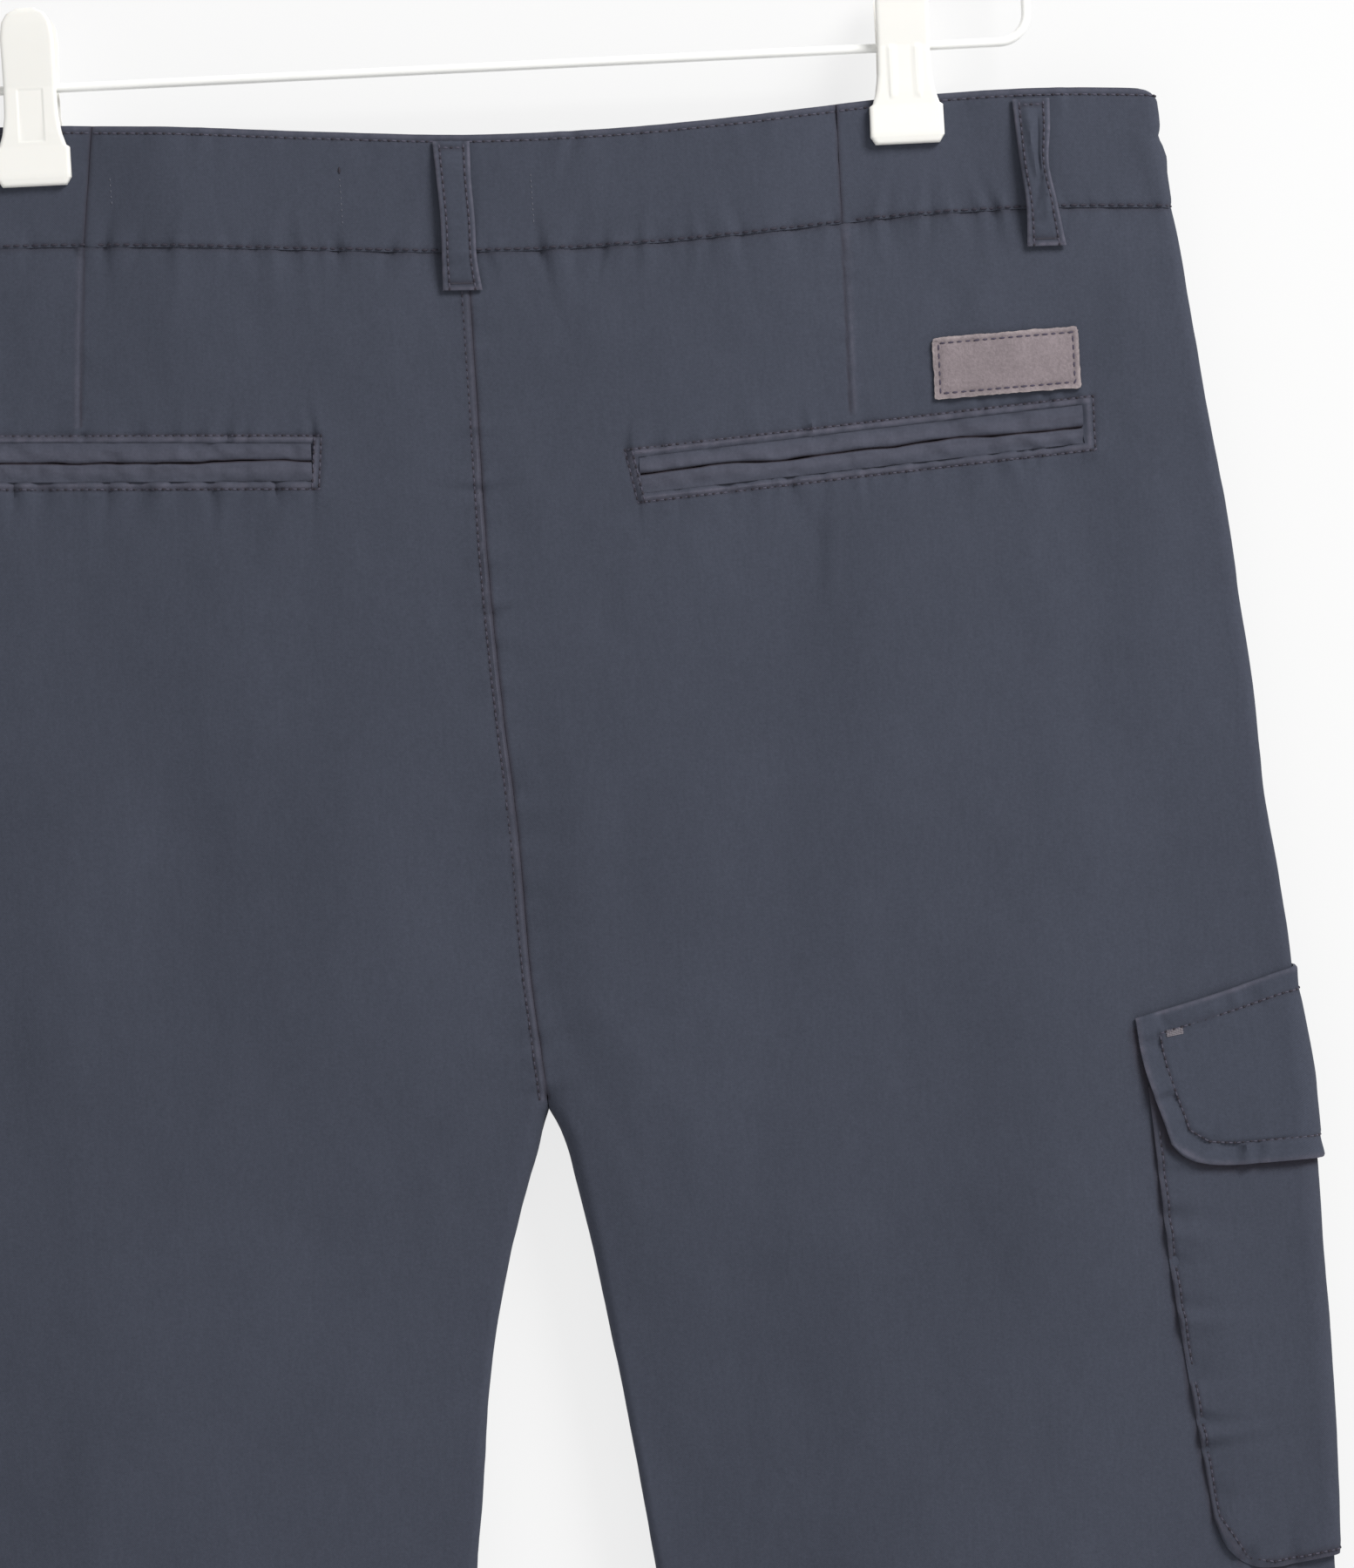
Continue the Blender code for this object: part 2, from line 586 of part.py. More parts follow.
def turned_ring(name, material, profile, centre, axis, sides=20):
    """A ring turned about an axis from (radius, along) points; a radius of 0 is a pole."""
    points, faces = [], []
    for s in range(sides):
        angle = 2 * math.pi * s / sides
        for radius, along in profile:
            u, v = radius * math.cos(angle), radius * math.sin(angle)
            offset = {"X": (along, u, v), "Y": (u, along, v), "Z": (u, v, along)}[axis]
            points.append([(c + o) * MM for c, o in zip(centre, offset)])
    count = len(profile)
    closed_ring = profile[0][0] > 0
    for s in range(sides):
        for k in range(count if closed_ring else count - 1):
            a, b = s * count + k, s * count + (k + 1) % count
            c, d = ((s + 1) % sides) * count + (k + 1) % count, ((s + 1) % sides) * count + k
            faces.append((a, b, c, d))
    mesh = bpy.data.meshes.new(name)
    mesh.from_pydata(points, [], faces)
    close(mesh)
    return place(mesh, name, material)


# ---------------------------------------------------------------- the garment's pieces


def slit_down(pocket, across):
    """Real height of a back pocket's slit at an x."""
    share = (across - pocket.inner_x) / (pocket.outer_x - pocket.inner_x)
    return mix(pocket.inner_down, pocket.outer_down, share)


def panel_rows(pocket):
    """The panels' rows, with the two edges of the pocket's window among them."""
    middle_x = (pocket.inner_x + pocket.outer_x) / 2
    level = float(nominal(middle_x, slit_down(pocket, middle_x)))
    window = (PanelRow(level - WINDOW_HALF, 1.0), PanelRow(level + WINDOW_HALF, 1.0))
    return UPPER_ROWS + window + LOWER_ROWS


def row_levels(pocket, row, side, around):
    """`down` along one row of a panel: it runs beside the pocket as far as its slant says."""
    across, _ = section(side, around, np.full(len(around), row.down))
    middle_x = (pocket.inner_x + pocket.outer_x) / 2
    beside = nominal(across, slit_down(pocket, across)) - nominal(middle_x, slit_down(pocket, middle_x))
    return row.down + row.slant * beside


def window_edge(pocket, offset):
    """around and down along an edge of the window, `offset` mm below the slit."""
    across = np.linspace(pocket.inner_x, pocket.outer_x, WINDOW_COLUMNS + 1)
    level = nominal(across, slit_down(pocket, across) + offset)
    return around_at(pocket.side, -1, across, level), level


def wall_depth(down):
    """The hem is turned up, so the wall is double there."""
    return np.where(np.asarray(down) > OUTSEAM - HEM_HEIGHT + 0.01, 2 * PANEL_WALL, PANEL_WALL)


def side_seam(side, down, gap):
    """`around` of the side seam, moved `gap` mm towards the back (+) or the front (-)."""
    return around_from_fold(side, np.full(np.shape(down), SIDE_SEAM - gap), down)


def panel(side, face):
    """One of the four panels, as a wall of the cloth's surface."""
    pocket = next(p for p in BACK_POCKETS if p.side == side)
    rows = panel_rows(pocket)
    window_rows = (len(UPPER_ROWS), len(UPPER_ROWS) + 1)
    inner_fold = INNER_SHARE * np.array(INNER_FOLD_TURNS)
    outer_fold = 1 + OUTER_SHARE * np.array(OUTER_FOLD_TURNS)
    window, _ = window_edge(pocket, 0.0)
    first = len(inner_fold) + 1
    in_window = slice(first, first + len(window))
    outside, inside = [], []
    for k, row in enumerate(rows):
        seam = float(side_seam(side, np.array([row.down]), HALF_GAP if face < 0 else -HALF_GAP)[0])
        if face < 0:
            beside = mix(INNER_SHARE, window[0], 0.5), mix(window[-1], outer_fold[0], 0.5)
            around = np.array([*inner_fold, beside[0], *window, beside[1], *outer_fold, seam])
        else:
            flat = np.linspace(2 - INNER_SHARE, seam, FRONT_COLUMNS)
            around = np.array([*(2 - inner_fold[:-1]), *flat])
        down = row_levels(pocket, row, side, around)
        if face < 0 and k in window_rows:
            offset = WINDOW_HALF * (-1 if k == window_rows[0] else 1)
            around[in_window], down[in_window] = window_edge(pocket, offset)
        outside.append(skin(side, around, down))
        inside.append(skin(side, around, down, -wall_depth(down)))
    window_cells = [(window_rows[0], first + column) for column in range(WINDOW_COLUMNS)]
    name = f"{'back' if face < 0 else 'front'}_panel_{'right' if side > 0 else 'left'}"
    wall(name, "twill", np.array(outside), np.array(inside), window_cells if face < 0 else ())


def welts(pocket):
    """The two lips that fill a back pocket's window, with the slit between them."""
    word = "right" if pocket.side > 0 else "left"
    gap = pocket.side * SEAM_GAP
    across = np.linspace(pocket.inner_x + gap, pocket.outer_x - gap, WELT_COLUMNS)
    middle = slit_down(pocket, across)
    for part, sign in (("upper", -1), ("lower", 1)):
        outside, inside = [], []
        for row in WELT_ROWS:
            down = middle + sign * row.offset
            outside.append(on_face(-1, across, down, row.lift))
            inside.append(on_face(-1, across, down, row.lift - PANEL_WALL))
        wall(f"welt_{part}_{word}", "twill", np.array(outside), np.array(inside))


def band_seam(word, down):
    """x of one of the waistband's pieced seams."""
    return BAND_SEAM_RIGHT if word == "right" else BAND_SEAM_LEFT + BAND_SEAM_LEAN * down / BAND_HEIGHT


def waistband_centre():
    """The waistband's piece across the back, between its two pieced seams."""
    outside, inside = [], []
    for down, lift in BAND_ROWS:
        ends = band_seam("left", down) + HALF_GAP, band_seam("right", down) - HALF_GAP
        across = np.linspace(*ends, BAND_CENTRE_COLUMNS)
        real = down + raised(across, down)
        outside.append(on_face(-1, across, real, lift))
        inside.append(on_face(-1, across, real, BAND_INSIDE))
    wall("waistband_centre", "twill", np.array(outside), np.array(inside))


def waistband_side(side, word):
    """A side piece, from its pieced seam round the fold to the centre front."""
    front_stops = side * np.array(BAND_STOPS)
    beyond_seam = np.abs(front_stops) > abs(band_seam(word, BAND_HEIGHT)) + LAY_GAP
    back_stops = front_stops[beyond_seam][::-1]
    outside, inside = [], []
    for down, lift in BAND_ROWS:
        start = band_seam(word, down) + side * HALF_GAP
        end = float(read(SECTIONS, "centre", down)) + side * BAND_ENDS[word]
        back = around_at(side, -1, np.array([start, *back_stops]), down)
        front = around_at(side, 1, np.array([*front_stops, end]), down)
        around = np.concatenate([back, 1 + OUTER_SHARE * np.array(BAND_FOLD_TURNS), front])
        outer_row = [skin(side, around, down, lift)]
        inner_row = [skin(side, around, down, BAND_INSIDE)]
        if word == "left":
            over = around_at(1, 1, end + np.array(TAB_STOPS), down)
            outer_row.append(skin(1, over, down, lift + TAB_RISE))
            inner_row.append(skin(1, over, down, BAND_INSIDE + TAB_RISE))
        outside.append(np.concatenate(outer_row))
        inside.append(np.concatenate(inner_row))
    wall(f"waistband_{word}", "twill", np.array(outside), np.array(inside))


def belt_loop(loop):
    outside, inside = [], []
    for share in LOOP_ROWS:
        held = np.clip((share - LOOP_TACK) / (1 - 2 * LOOP_TACK), 0, 1)
        bow = LOOP_BOW * math.sin(math.pi * held) ** LOOP_BOW_POWER
        down = mix(loop.top, loop.bottom, share)
        middle = mix(loop.top_x, loop.bottom_x, share)
        across = middle + np.array(LOOP_COLUMNS) * loop.width
        real = down + raised(middle, down)
        base = BAND_PROUD + LAY_GAP + bow
        crown = np.where(np.abs(LOOP_COLUMNS) < 0.5, 0.0, -LOOP_EDGE_DROP)
        outside.append(on_face(loop.face, across, real, base + LOOP_WALL + crown))
        inside.append(on_face(loop.face, across, real, base))
    wall(loop.name, "twill", np.array(outside), np.array(inside))


def patch():
    across = np.linspace(PATCH_LEFT, PATCH_RIGHT, 6)
    fall = PATCH_FALL * (across - PATCH_LEFT)
    downs = (PATCH_TOP, mix(PATCH_TOP, PATCH_BOTTOM, 0.5), PATCH_BOTTOM)
    outside = np.array([on_face(-1, across, down + fall, LAY_GAP + PATCH_WALL) for down in downs])
    inside = np.array([on_face(-1, across, down + fall, LAY_GAP) for down in downs])
    wall("back_patch", "suede", outside, inside)


def cargo_grid(side, piece, rows):
    """For each row of the flap or the pouch: around, down, and mm from its top and its sides."""
    grid = []
    for v in rows:
        half = float(read(CARGO_EDGES, piece, v))
        turn = cargo_turns(half)
        inwards = half - np.abs(turn - SIDE_SEAM)
        top = read(CARGO_LINES, "flap_top", turn)
        if piece == "pouch":
            top = top + POUCH_TOP_BELOW_FLAP_TOP
        bottom = read(CARGO_LINES, piece + "_bottom", turn) - read(CORNERS, piece, inwards)
        down = mix(top, bottom, v)
        grid.append((around_from_fold(side, turn, down), down, down - top, inwards))
    return grid


def cargo_turns(half):
    """Distances round from the outer fold, across a cargo piece that reaches `half` each way."""
    back, front = SIDE_SEAM - half, SIDE_SEAM + half
    fold = QUARTER * np.array(OUTER_FOLD_TURNS)
    before = mix(back, fold[0], np.array(CARGO_BACK_SHARES))
    after = mix(front, fold[-1], np.array(CARGO_FRONT_SHARES))
    return np.array([*before, *fold, *after])


def cargo_pocket(side):
    word = "right" if side > 0 else "left"
    outside, inside = [], []
    for v, (around, down, _, inwards) in zip(POUCH_ROWS, cargo_grid(side, "pouch", POUCH_ROWS)):
        puff = smooth(inwards / PUFF_EASE) * smooth(v / PUFF_FROM_TOP) * smooth((1 - v) / PUFF_FROM_FOOT)
        lift = LAY_GAP + POUCH_PUFF * puff
        outside.append(skin(side, around, down, lift + POUCH_WALL))
        inside.append(skin(side, around, down, lift))
    wall(f"cargo_pouch_{word}", "twill", np.array(outside), np.array(inside))

    outside, inside = [], []
    for v, (around, down, below, _) in zip(FLAP_ROWS, cargo_grid(side, "flap", FLAP_ROWS)):
        lift = LAY_GAP + FLAP_LIFT * smooth(below / FLAP_RISE)
        edge_drop = FLAP_EDGE_DROP if v in (0.0, 1.0) else 0.0
        outside.append(skin(side, around, down, lift + FLAP_WALL - edge_drop))
        inside.append(skin(side, around, down, lift))
    wall(f"cargo_flap_{word}", "flap_twill", np.array(outside), np.array(inside))


def button():
    down = BAND_HEIGHT / 2
    centre_x = float(read(SECTIONS, "centre", down)) + TAB_STOPS[-1] - BUTTON_FROM_TAB_END
    point = on_face(1, centre_x, down, BAND_PROUD + TAB_RISE + BUTTON_CLEAR) / MM
    rim, top = BUTTON_RADIUS - BUTTON_RIM, BUTTON_WALL
    profile = ((0.0, 0.0), (rim, 0.0), (BUTTON_RADIUS, BUTTON_CORNER))
    profile += ((BUTTON_RADIUS, top - BUTTON_CORNER), (rim, top))
    profile += ((rim - BUTTON_SLOPE, top - BUTTON_DISH), (0.0, top - BUTTON_DISH))
    turned_ring("waist_button", "button", profile, point, "Y", sides=24)


# ---------------------------------------------------------------- the hanger


def lever(x, face, word):
    outside, inside = [], []
    for row in LEVER_ROWS:
        z = WAIST_TOP_Z - row.down
        columns = np.array(LEVER_COLUMNS)
        crown = LEVER_EDGE_DROP * (np.abs(columns) > 0.9)
        xs = x + columns * row.half_width
        outer_y = face * (row.inside + row.wall - crown)
        inner_y = np.full(len(columns), face * row.inside)
        for y, rows in ((outer_y, outside), (inner_y, inside)):
            rows.append(np.stack([xs, y, np.full(len(columns), z)], axis=-1) * MM)
    side = "back" if face < 0 else "front"
    wall(f"clip_lever_{side}_{word}", "clip_plastic", np.array(outside), np.array(inside))


def sleeve(x, word):
    half, corner = SLEEVE_HALF_LENGTH, SLEEVE_CORNER
    profile = ((SLEEVE_BORE, -half), (SLEEVE_RADIUS - corner, -half), (SLEEVE_RADIUS, -half + corner))
    profile += ((SLEEVE_RADIUS, half - corner), (SLEEVE_RADIUS - corner, half), (SLEEVE_BORE, half))
    turned_ring(f"clip_sleeve_{word}", "clip_plastic", profile, (x, 0, -BAR_BELOW_HOOK), "X", sides=16)


def hanger():
    bar, shoulder = -BAR_BELOW_HOOK, -BAR_BELOW_HOOK + POST_HEIGHT
    neck = -NECK_BELOW_HOOK
    corners = [
        (-FRAME_HALF, bar),
        (FRAME_HALF, bar),
        (FRAME_HALF, shoulder),
        (NECK_HALF, neck),
        (-NECK_HALF, neck),
        (-FRAME_HALF, shoulder),
    ]
    tube("hanger_frame", "wire_coating", rounded(corners, FRAME_CORNER, True), WIRE / 2, closed=True)

    centre_z = WIRE / 2 - HOOK_RADIUS
    angles = np.radians(np.linspace(HOOK_FROM, HOOK_TO, HOOK_STEPS + 1))
    arc = [(HOOK_RADIUS * math.cos(a), centre_z + HOOK_RADIUS * math.sin(a)) for a in angles]
    bend_z = arc[0][1] + arc[0][0] / math.tan(angles[0])
    stem_foot = neck + WIRE / 2 + SEAM_GAP
    stem = rounded([(0.0, stem_foot), (0.0, bend_z), arc[0]], HOOK_BEND, False)
    tube("hanger_hook", "wire_coating", stem + [(x * MM, 0.0, z * MM) for x, z in arc[1:]], WIRE / 2)

    bore, shoulder_height = WIRE / 2 + SEAM_GAP, COLLAR_HEIGHT - COLLAR_TAPER_HEIGHT
    profile = ((bore, 0.0), (COLLAR_RADIUS, 0.0), (COLLAR_RADIUS, shoulder_height))
    profile += ((COLLAR_RADIUS - COLLAR_TAPER, COLLAR_HEIGHT), (bore, COLLAR_HEIGHT))
    turned_ring("hanger_collar", "clip_plastic", profile, (0, 0, stem_foot), "Z", sides=16)

    for x, word in ((CLIP_X, "right"), (-CLIP_X, "left")):
        lever(x, -1, word)
        lever(x, 1, word)
        sleeve(x, word)


def main():
    for old in list(bpy.data.objects):
        bpy.data.objects.remove(old)
    for side in (1, -1):
        for face in (-1, 1):
            panel(side, face)
        cargo_pocket(side)
    for pocket in BACK_POCKETS:
        welts(pocket)
    waistband_centre()
    waistband_side(1, "right")
    waistband_side(-1, "left")
    for loop in BELT_LOOPS:
        belt_loop(loop)
    patch()
    button()
    hanger()


main()
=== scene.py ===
"""Dresses the cargo shorts and their clip hanger: cloth, stitching, plastic, wire and stage.

The frame's origin is the inside top of the hanger's hook, +Z is up, and -Y is the side that the
garment's back faces. Sizes below are in millimetres, and MM turns them into metres.
"""

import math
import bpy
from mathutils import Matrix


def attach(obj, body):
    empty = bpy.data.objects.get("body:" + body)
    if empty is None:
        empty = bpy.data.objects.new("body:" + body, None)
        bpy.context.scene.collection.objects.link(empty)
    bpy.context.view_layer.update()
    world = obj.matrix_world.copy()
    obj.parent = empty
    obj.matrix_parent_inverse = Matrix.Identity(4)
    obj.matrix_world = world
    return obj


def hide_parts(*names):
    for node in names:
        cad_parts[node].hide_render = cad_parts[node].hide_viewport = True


bl_info = {
    "name": "Cargo shorts on a clip hanger",
    "version": (1, 0, 0),
    "blender": (4, 5, 0),
    "location": "View3D > Sidebar > Shorts",
    "description": "Cloth, seams, hardware and stage for a pair of hanging cargo shorts",
    "category": "Object",
}

from collections import namedtuple

import bmesh
import bpy
import numpy as np
from mathutils import Matrix, Vector

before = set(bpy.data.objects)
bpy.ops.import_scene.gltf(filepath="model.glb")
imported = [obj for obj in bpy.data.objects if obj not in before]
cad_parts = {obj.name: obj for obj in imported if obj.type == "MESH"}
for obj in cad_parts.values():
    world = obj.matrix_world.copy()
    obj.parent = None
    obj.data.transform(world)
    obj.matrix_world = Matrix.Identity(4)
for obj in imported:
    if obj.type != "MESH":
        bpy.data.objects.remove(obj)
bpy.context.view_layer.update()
BODY = "root"
MM = 0.001


def table(columns, *rows):
    """Rows of numbers, each with its columns' names."""
    entry = namedtuple("Entry", columns)
    return [entry(*row) for row in rows]


# ---- driving dimensions of the garment

SEAM_GAP = 0.3
HALF_GAP = SEAM_GAP / 2
SEWN_GAP = 0.04  # half of what shows between pieces that are sewn edge to edge
FORK_LAP = 0.3  # how far a piece reaches over its neighbour's edge where the seams meet at the fork
LAY_GAP = 0.5  # under a piece that lies on a curved panel
PANEL_WALL, BAND_WALL, LOOP_WALL = 1.2, 2.4, 1.4
FLAP_WALL, POUCH_WALL, PATCH_WALL = 1.4, 1.2, 1.2
BAND_PROUD = 0.6
BAND_INSIDE = BAND_PROUD - BAND_WALL

BAND_HEIGHT = 40.0
FORK, FORK_ROUND = 332.0, 12.0
OUTSEAM, HEM_HEIGHT = 548.0, 27.0
HEM_STITCH, HEM_EDGE, HEM_TURN = OUTSEAM - 24.0, OUTSEAM - 1.5, OUTSEAM - 2.4
FOLD_RADIUS = 3.4
QUARTER = FOLD_RADIUS * math.pi / 2
FULL_FROM, FULL_TO = 180.0, 430.0
SIDE_SEAM = 24.0
FRONT_DIP, DIP_EASE = 8.0, 0.3
RISE_FADE = 170.0

BAR_BELOW_HOOK = 170.0
WAIST_BELOW_BAR = 23.6
WAIST_TOP_Z = -(BAR_BELOW_HOOK + WAIST_BELOW_BAR)
WIRE = 3.2
CLIP_X, CLIP_CLOTH = 148.5, 2.3
CLIP_PLATEAU, CLIP_FADE = 14.5, 34.0
PINCH_DOWN, PINCH_FADE = 13.0, 70.0
INNER_SHARE = OUTER_SHARE = 0.08
FOLD_END = 30.0
FOLD_CLEAR, FOLD_EDGE = 30.0, 9.0

SECTIONS = table(
    "down left right centre depth",
    (-14, -238.6, 232.0, -3.4, 8.6),
    (0, -239.2, 233.0, -3.0, 9.0),
    (40, -242.4, 237.3, -2.6, 10.0),
    (90, -246.6, 243.4, -1.8, 11.4),
    (144, -250.0, 250.8, -0.8, 12.4),
    (197, -251.4, 255.7, 2.0, 12.8),
    (233, -251.8, 258.9, 4.7, 12.8),
    (287, -252.2, 265.0, 6.8, 12.6),
    (332, -252.6, 267.0, 10.5, 12.4),
    (376, -253.2, 268.6, 9.4, 12.2),
    (430, -253.8, 269.8, 8.4, 12.0),
    (483, -254.2, 270.8, 8.4, 11.6),
    (548, -254.6, 271.6, 8.8, 11.0),
)
INNER_EDGES = table(
    "down right left",
    (332, 10.65, 10.35),
    (338, 13.6, 8.2),
    (345, 16.1, 6.4),
    (357, 18.8, 2.3),
    (369, 21.3, -1.5),
    (393, 25.5, -8.1),
    (429, 31.1, -14.7),
    (465, 36.2, -18.6),
    (488, 39.3, -21.7),
    (548, 46.5, -29.0),
)
WAIST_LINE = table(
    "across rise",
    *((-240, -9.0), (-190, -10.6), (-148, -10.8), (-105, -8.1), (-52, -3.6), (0, 0.0)),
    *((55, 0.0), (90, -1.8), (149, -6.5), (205, -6.6), (240, -4.6)),
)
# The large folds: x and height of both ends, width, and how far they stand out.
BACK_FOLDS = (
    (21, 160, 26, 300, 15, 1.0),
    (32, 330, 62, 440, 20, 1.3),
    (188, 165, 186, 246, 20, 1.2),
    (204, 130, 202, 205, 13, -1.1),
    (233, 122, 234, 152, 10, 0.9),
    (108, 140, 97, 212, 14, -1.0),
    (150, 260, 128, 400, 26, -1.2),
    (196, 300, 176, 520, 24, 1.4),
    (88, 400, 96, 530, 18, -1.2),
    (-56, 215, -58, 250, 22, 1.1),
    (-118, 198, -124, 290, 22, -1.3),
    (-62, 330, -58, 372, 24, -1.2),
    (-152, 215, -143, 450, 20, 1.4),
    (-204, 160, -214, 280, 18, -1.1),
    (-34, 400, -46, 520, 18, -1.1),
    (-96, 420, -104, 530, 20, 1.0),
)
FRONT_FOLDS = (
    (96, 110, 128, 300, 20, -1.3),
    (40, 200, 60, 330, 18, 1.2),
    (168, 240, 150, 520, 24, 1.4),
    (90, 380, 96, 520, 20, -1.2),
    (-88, 120, -120, 290, 20, -1.3),
    (-30, 210, -48, 330, 18, 1.2),
    (-150, 250, -132, 520, 24, 1.4),
    (-72, 390, -80, 520, 20, -1.2),
)

BACK_POCKETS = table(
    "side inner_x inner_down outer_x outer_down border_top border_foot",
    (+1, 52.0, 118.4, 203.2, 108.0, 47.4, 51.0),
    (-1, -58.6, 108.6, -209.0, 101.2, -55.0, -56.6),
)
WINDOW_HALF, WELT_SLIT = 6.2, 0.9
BORDER_OUT, BORDER_END = 2.9, 3.8  # the stitched border lies this far outside the window
BORDER_ROW = 2.3  # and its end has a second row, this far inside the first

BAND_SEAM_RIGHT, BAND_SEAM_LEFT, BAND_SEAM_LEAN = 124.8, -128.5, -4.4
BAND_ENDS = {"left": 1.2, "right": 8.6}
TAB_LAP, TAB_EASE = 31.0, 7.0
TAB_RISE = BAND_WALL + 2 * SEAM_GAP
BUTTON_FROM_TAB_END, BUTTON_CLEAR = 13.0, 0.7

Dart = namedtuple("Dart", "top_x top_down foot_x foot_down")
DARTS = {+1: Dart(124.8, 35.0, 124.4, 104.6), -1: Dart(-132.9, 33.0, -136.5, 96.4)}

CARGO_LINES = table(
    "turn flap_top flap_bottom pouch_bottom",
    (-60, 311.0, 362.2, 500.0),
    (-30, 303.6, 361.6, 499.6),
    (0, 295.2, 360.6, 495.6),
    (50, 286.5, 354.0, 488.0),
    (110, 281.0, 346.0, 480.0),
)
POUCH_TOP_BELOW_FLAP_TOP = 24.0
CARGO_EDGES = table("share flap pouch", (0.0, 81.5, 79.0), (0.35, 80.2, 77.0), (1.0, 73.4, 67.5))
CORNERS = table(
    "inwards flap pouch",
    *((0.0, 8.4, 19.0), (3.0, 4.8, 10.0), (6.0, 2.8, 6.0)),
    *((12.0, 0.9, 1.8), (20.0, 0.0, 0.2), (30.0, 0.0, 0.0)),
)
POUCH_PUFF, PUFF_EASE = 1.0, 12.0
PUFF_FROM_TOP, PUFF_FROM_FOOT = 0.25, 0.12
FLAP_LIFT, FLAP_RISE, FLAP_CURL = 2.8, 40.0, 0.7

# Each kind of piece has its own stretch of flat cloth, so that no two share weave and wash.
FRONT_AT, BAND_AT, BAND_SIDE_AT, LOOP_AT, WELT_AT, CARGO_AT = 1000, 2000, 2100, 2300, 2400, 2600
# The seed of each piece's own unevenness; the last three pieces add their side or their place.
SEEDS = {"back_right": 11, "back_left": 47, "front_right": 83, "front_left": 91, "patch": 263}
SEEDS |= {"band_centre": 131, "band_right": 151, "band_left": 173}
SEEDS |= {"pouch": 311, "flap": 331, "loop": 200, "welt": 240}

# ---- small helpers


def read(rows, column, at):
    """A named column of a table at places along its first column, on a smooth curve."""
    keys = np.array([row[0] for row in rows], float)
    values = np.array([getattr(row, column) for row in rows], float)
    at = np.clip(np.asarray(at, float), keys[0], keys[-1])
    slopes = np.gradient(values, keys)
    row = np.clip(np.searchsorted(keys, at) - 1, 0, len(keys) - 2)
    step = keys[row + 1] - keys[row]
    t = (at - keys[row]) / step
    rise = values[row + 1] - values[row]
    ends = (1 - t) * step * slopes[row] - t * step * slopes[row + 1]
    return values[row] + t * t * (3 - 2 * t) * rise + t * (1 - t) * ends


def smooth(t):
    """0 below 0, 1 above 1, and an eased step between."""
    t = np.clip(t, 0.0, 1.0)
    return t * t * (3 - 2 * t)


def mix(a, b, share):
    return a + (b - a) * share


def bell(off, width):
    """1 on a line, falling away evenly on both its sides."""
    return np.exp(-((off / width) ** 2))


def rounding(inwards, radius):
    """What a rounded edge takes away, as a share, at a distance in from it."""
    return 1 - np.sqrt(np.clip(1 - (1 - np.clip(inwards / radius, 0, 1)) ** 2, 0, 1))


def arrays(*values):
    """Numbers and arrays of numbers, brought to one shape."""
    return np.broadcast_arrays(*(np.asarray(value, float) for value in values))


def word_of(side):
    return "right" if side > 0 else "left"


def stations(start, *runs):
    """Places from start on: each (end, step) run is divided into equal steps of about that size."""
    places = [float(start)]
    for end, step in runs:
        count = max(1, round(abs(end - places[-1]) / step))
        places.extend(np.linspace(places[-1], end, count + 1)[1:])
    return np.array(places)


def knot(i, j, seed):
    """A fixed value from -1 to 1 for each knot of a lattice."""
    n = (
        (i.astype(np.int64) * 374761393 + j.astype(np.int64) * 668265263 + seed * 974634777)
        & 0xFFFFFFFF
    )
    n = ((n ^ (n >> 13)) * 1274126177) & 0xFFFFFFFF
    return ((n ^ (n >> 16)) & 0xFFFF) / 32767.5 - 1


def noise(u, v, seed):
    """Soft unevenness from -1 to 1, with one knot per unit of u and v."""
    i, j = np.floor(u), np.floor(v)
    s, t = u - i, v - j
    s, t = s * s * s * (s * (6 * s - 15) + 10), t * t * t * (t * (6 * t - 15) + 10)
    top = mix(knot(i, j, seed), knot(i + 1, j, seed), s)
    foot = mix(knot(i, j + 1, seed), knot(i + 1, j + 1, seed), s)
    return mix(top, foot, t)


def ripple(along, pitch, seed):
    """Uneven waves along a seam."""
    return noise(along / pitch, np.zeros(np.shape(along)), seed)


def waves(rows, along, seed=0):
    """Uneven waves of several sizes: each row is a size, a pitch and what is added to the seed."""
    return sum(size * ripple(along, pitch, seed + more) for size, pitch, more in rows)


# ---- the cloth's surface


def edges(side, down):
    """The x of one half's inner edge (the centre seam above the fork) and of its outer fold."""
    centre = read(SECTIONS, "centre", down)
    outer = read(SECTIONS, word_of(side), down)
    inseam = read(INNER_EDGES, word_of(side), down)
    sewn = SEWN_GAP - FORK_LAP * smooth((down - FORK + FORK_ROUND) / (FORK_ROUND / 2))
    return np.where(down < FORK, centre + side * sewn, inseam), outer


def spans(side, down):
    """Inner edge, outer fold, full depth, share of leg, inner rounding and the flat's two ends."""
    inner, outer = edges(side, down)
    full = read(SECTIONS, "depth", down)
    legs = smooth((down - FULL_FROM) / (FULL_TO - FULL_FROM))
    inner_round = FOLD_RADIUS + (full - FOLD_RADIUS) * (1 - legs)
    turns = inner + side * inner_round, outer - side * FOLD_RADIUS
    return (inner, outer, full, legs, inner_round, *turns)


